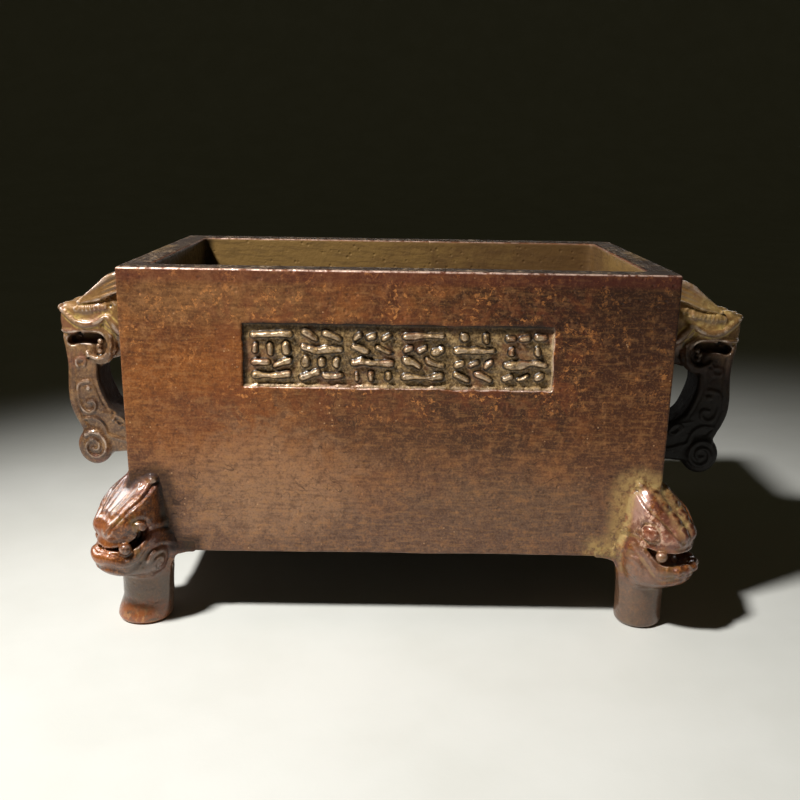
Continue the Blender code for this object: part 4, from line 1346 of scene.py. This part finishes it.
def add_floor():
    """A floor that rises in a curve behind the burner, out of the key light."""
    ground = Surface("pale_floor")
    tone = ground.between(ground.noise(60.0, 5.0), 0.3, 0.7)
    ground.set(Base_Color=ground.mix(tone, paint((224, 224, 218)), paint((217, 217, 210))),
               Roughness=ground.math("ADD", 0.45, ground.times(ground.noise(8.0), 0.2)),
               Normal=ground.bump(ground.noise(1.2), 0.02))
    turns = [math.radians(step * 7.5) for step in range(13)]
    sweep = [(-4.0, 0.0)] + [(1.4 + math.sin(a), 1.0 - math.cos(a)) for a in turns] + [(2.4, 5.0)]
    corners = [(x, y, z) for y, z in sweep for x in (-4.0, 4.0)]
    mesh = bpy.data.meshes.new("floor")
    mesh.from_pydata(corners, [], [(2 * i, 2 * i + 1, 2 * i + 3, 2 * i + 2) for i in range(len(sweep) - 1)])
    mesh.polygons.foreach_set("use_smooth", [True] * len(mesh.polygons))
    mesh.materials.append(ground.material)
    floor = bpy.data.objects.new("floor", mesh)
    bpy.context.scene.collection.objects.link(floor)


def add_camera(place, yaw, pitch, roll, lens):
    """Aims a camera from a place: yaw to the right, pitch down and roll, in radians."""
    forward = Vector((math.sin(yaw) * math.cos(pitch), math.cos(yaw) * math.cos(pitch), -math.sin(pitch)))
    level_right = Vector((math.cos(yaw), -math.sin(yaw), 0.0))
    level_up = level_right.cross(forward)
    right = math.cos(roll) * level_right + math.sin(roll) * level_up
    up = math.cos(roll) * level_up - math.sin(roll) * level_right
    camera = bpy.data.objects.new("camera", bpy.data.cameras.new("camera"))
    camera.data.lens = lens
    camera.data.clip_start = 0.01
    rows = [(right[i], up[i], -forward[i], place[i]) for i in range(3)]
    camera.matrix_world = Matrix((*rows, (0, 0, 0, 1)))
    bpy.context.scene.collection.objects.link(camera)
    bpy.context.scene.camera = camera


def add_light(name, kind, place, target, energy, colour, **settings):
    light = bpy.data.lights.new(name, kind)
    light.energy = energy
    light.color = colour
    for key, value in settings.items():
        setattr(light, key, value)
    holder = bpy.data.objects.new(name, light)
    holder.location = place
    holder.rotation_euler = (Vector(target) - Vector(place)).to_track_quat("-Z", "Y").to_euler()
    bpy.context.scene.collection.objects.link(holder)
    return holder


add_feet()
add_handles()
add_trough()
add_panel()
add_floor()
add_camera(Vector(CAMERA_PLACE) * MM, *(math.radians(turn) for turn in CAMERA_TURNS), CAMERA_LENS)
add_light("key", "SPOT", (-0.300, -0.234, 0.543), (-0.020, -0.104, 0.0), 22.8, (1.0, 0.99, 0.965),
          spot_size=math.radians(58.5), spot_blend=1.0, shadow_soft_size=0.035)
fills = [
    add_light("back_fill", "AREA", (0.0, 0.95, 0.11), (0.0, 0.0, 0.06), 1.2, WARM,
              shape="RECTANGLE", size=1.1, size_y=0.14),
    add_light("right_fill", "AREA", (0.95, 0.35, 0.12), (0.0, 0.0, 0.06), 0.25, WARM,
              shape="RECTANGLE", size=0.5, size_y=0.16),
    add_light("left_sheen", "AREA", (-0.75, 0.25, 0.42), (-0.08, -0.04, 0.05), 2.7, (1.0, 0.98, 0.97),
              size=0.24),
]
fills[-1].visible_diffuse = False
burner = bpy.data.collections.new("burner")
for thing in bpy.data.objects:
    if thing.get("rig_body") and not thing.get("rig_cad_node"):
        burner.objects.link(thing)
for light in fills:
    light.light_linking.receiver_collection = burner
world = bpy.data.worlds.new("dim_room")
world.use_nodes = True
world.node_tree.nodes["Background"].inputs[0].default_value = (0.0150, 0.0140, 0.0078, 1.0)
bpy.context.scene.world = world
bpy.context.scene.view_settings.view_transform = "Standard"
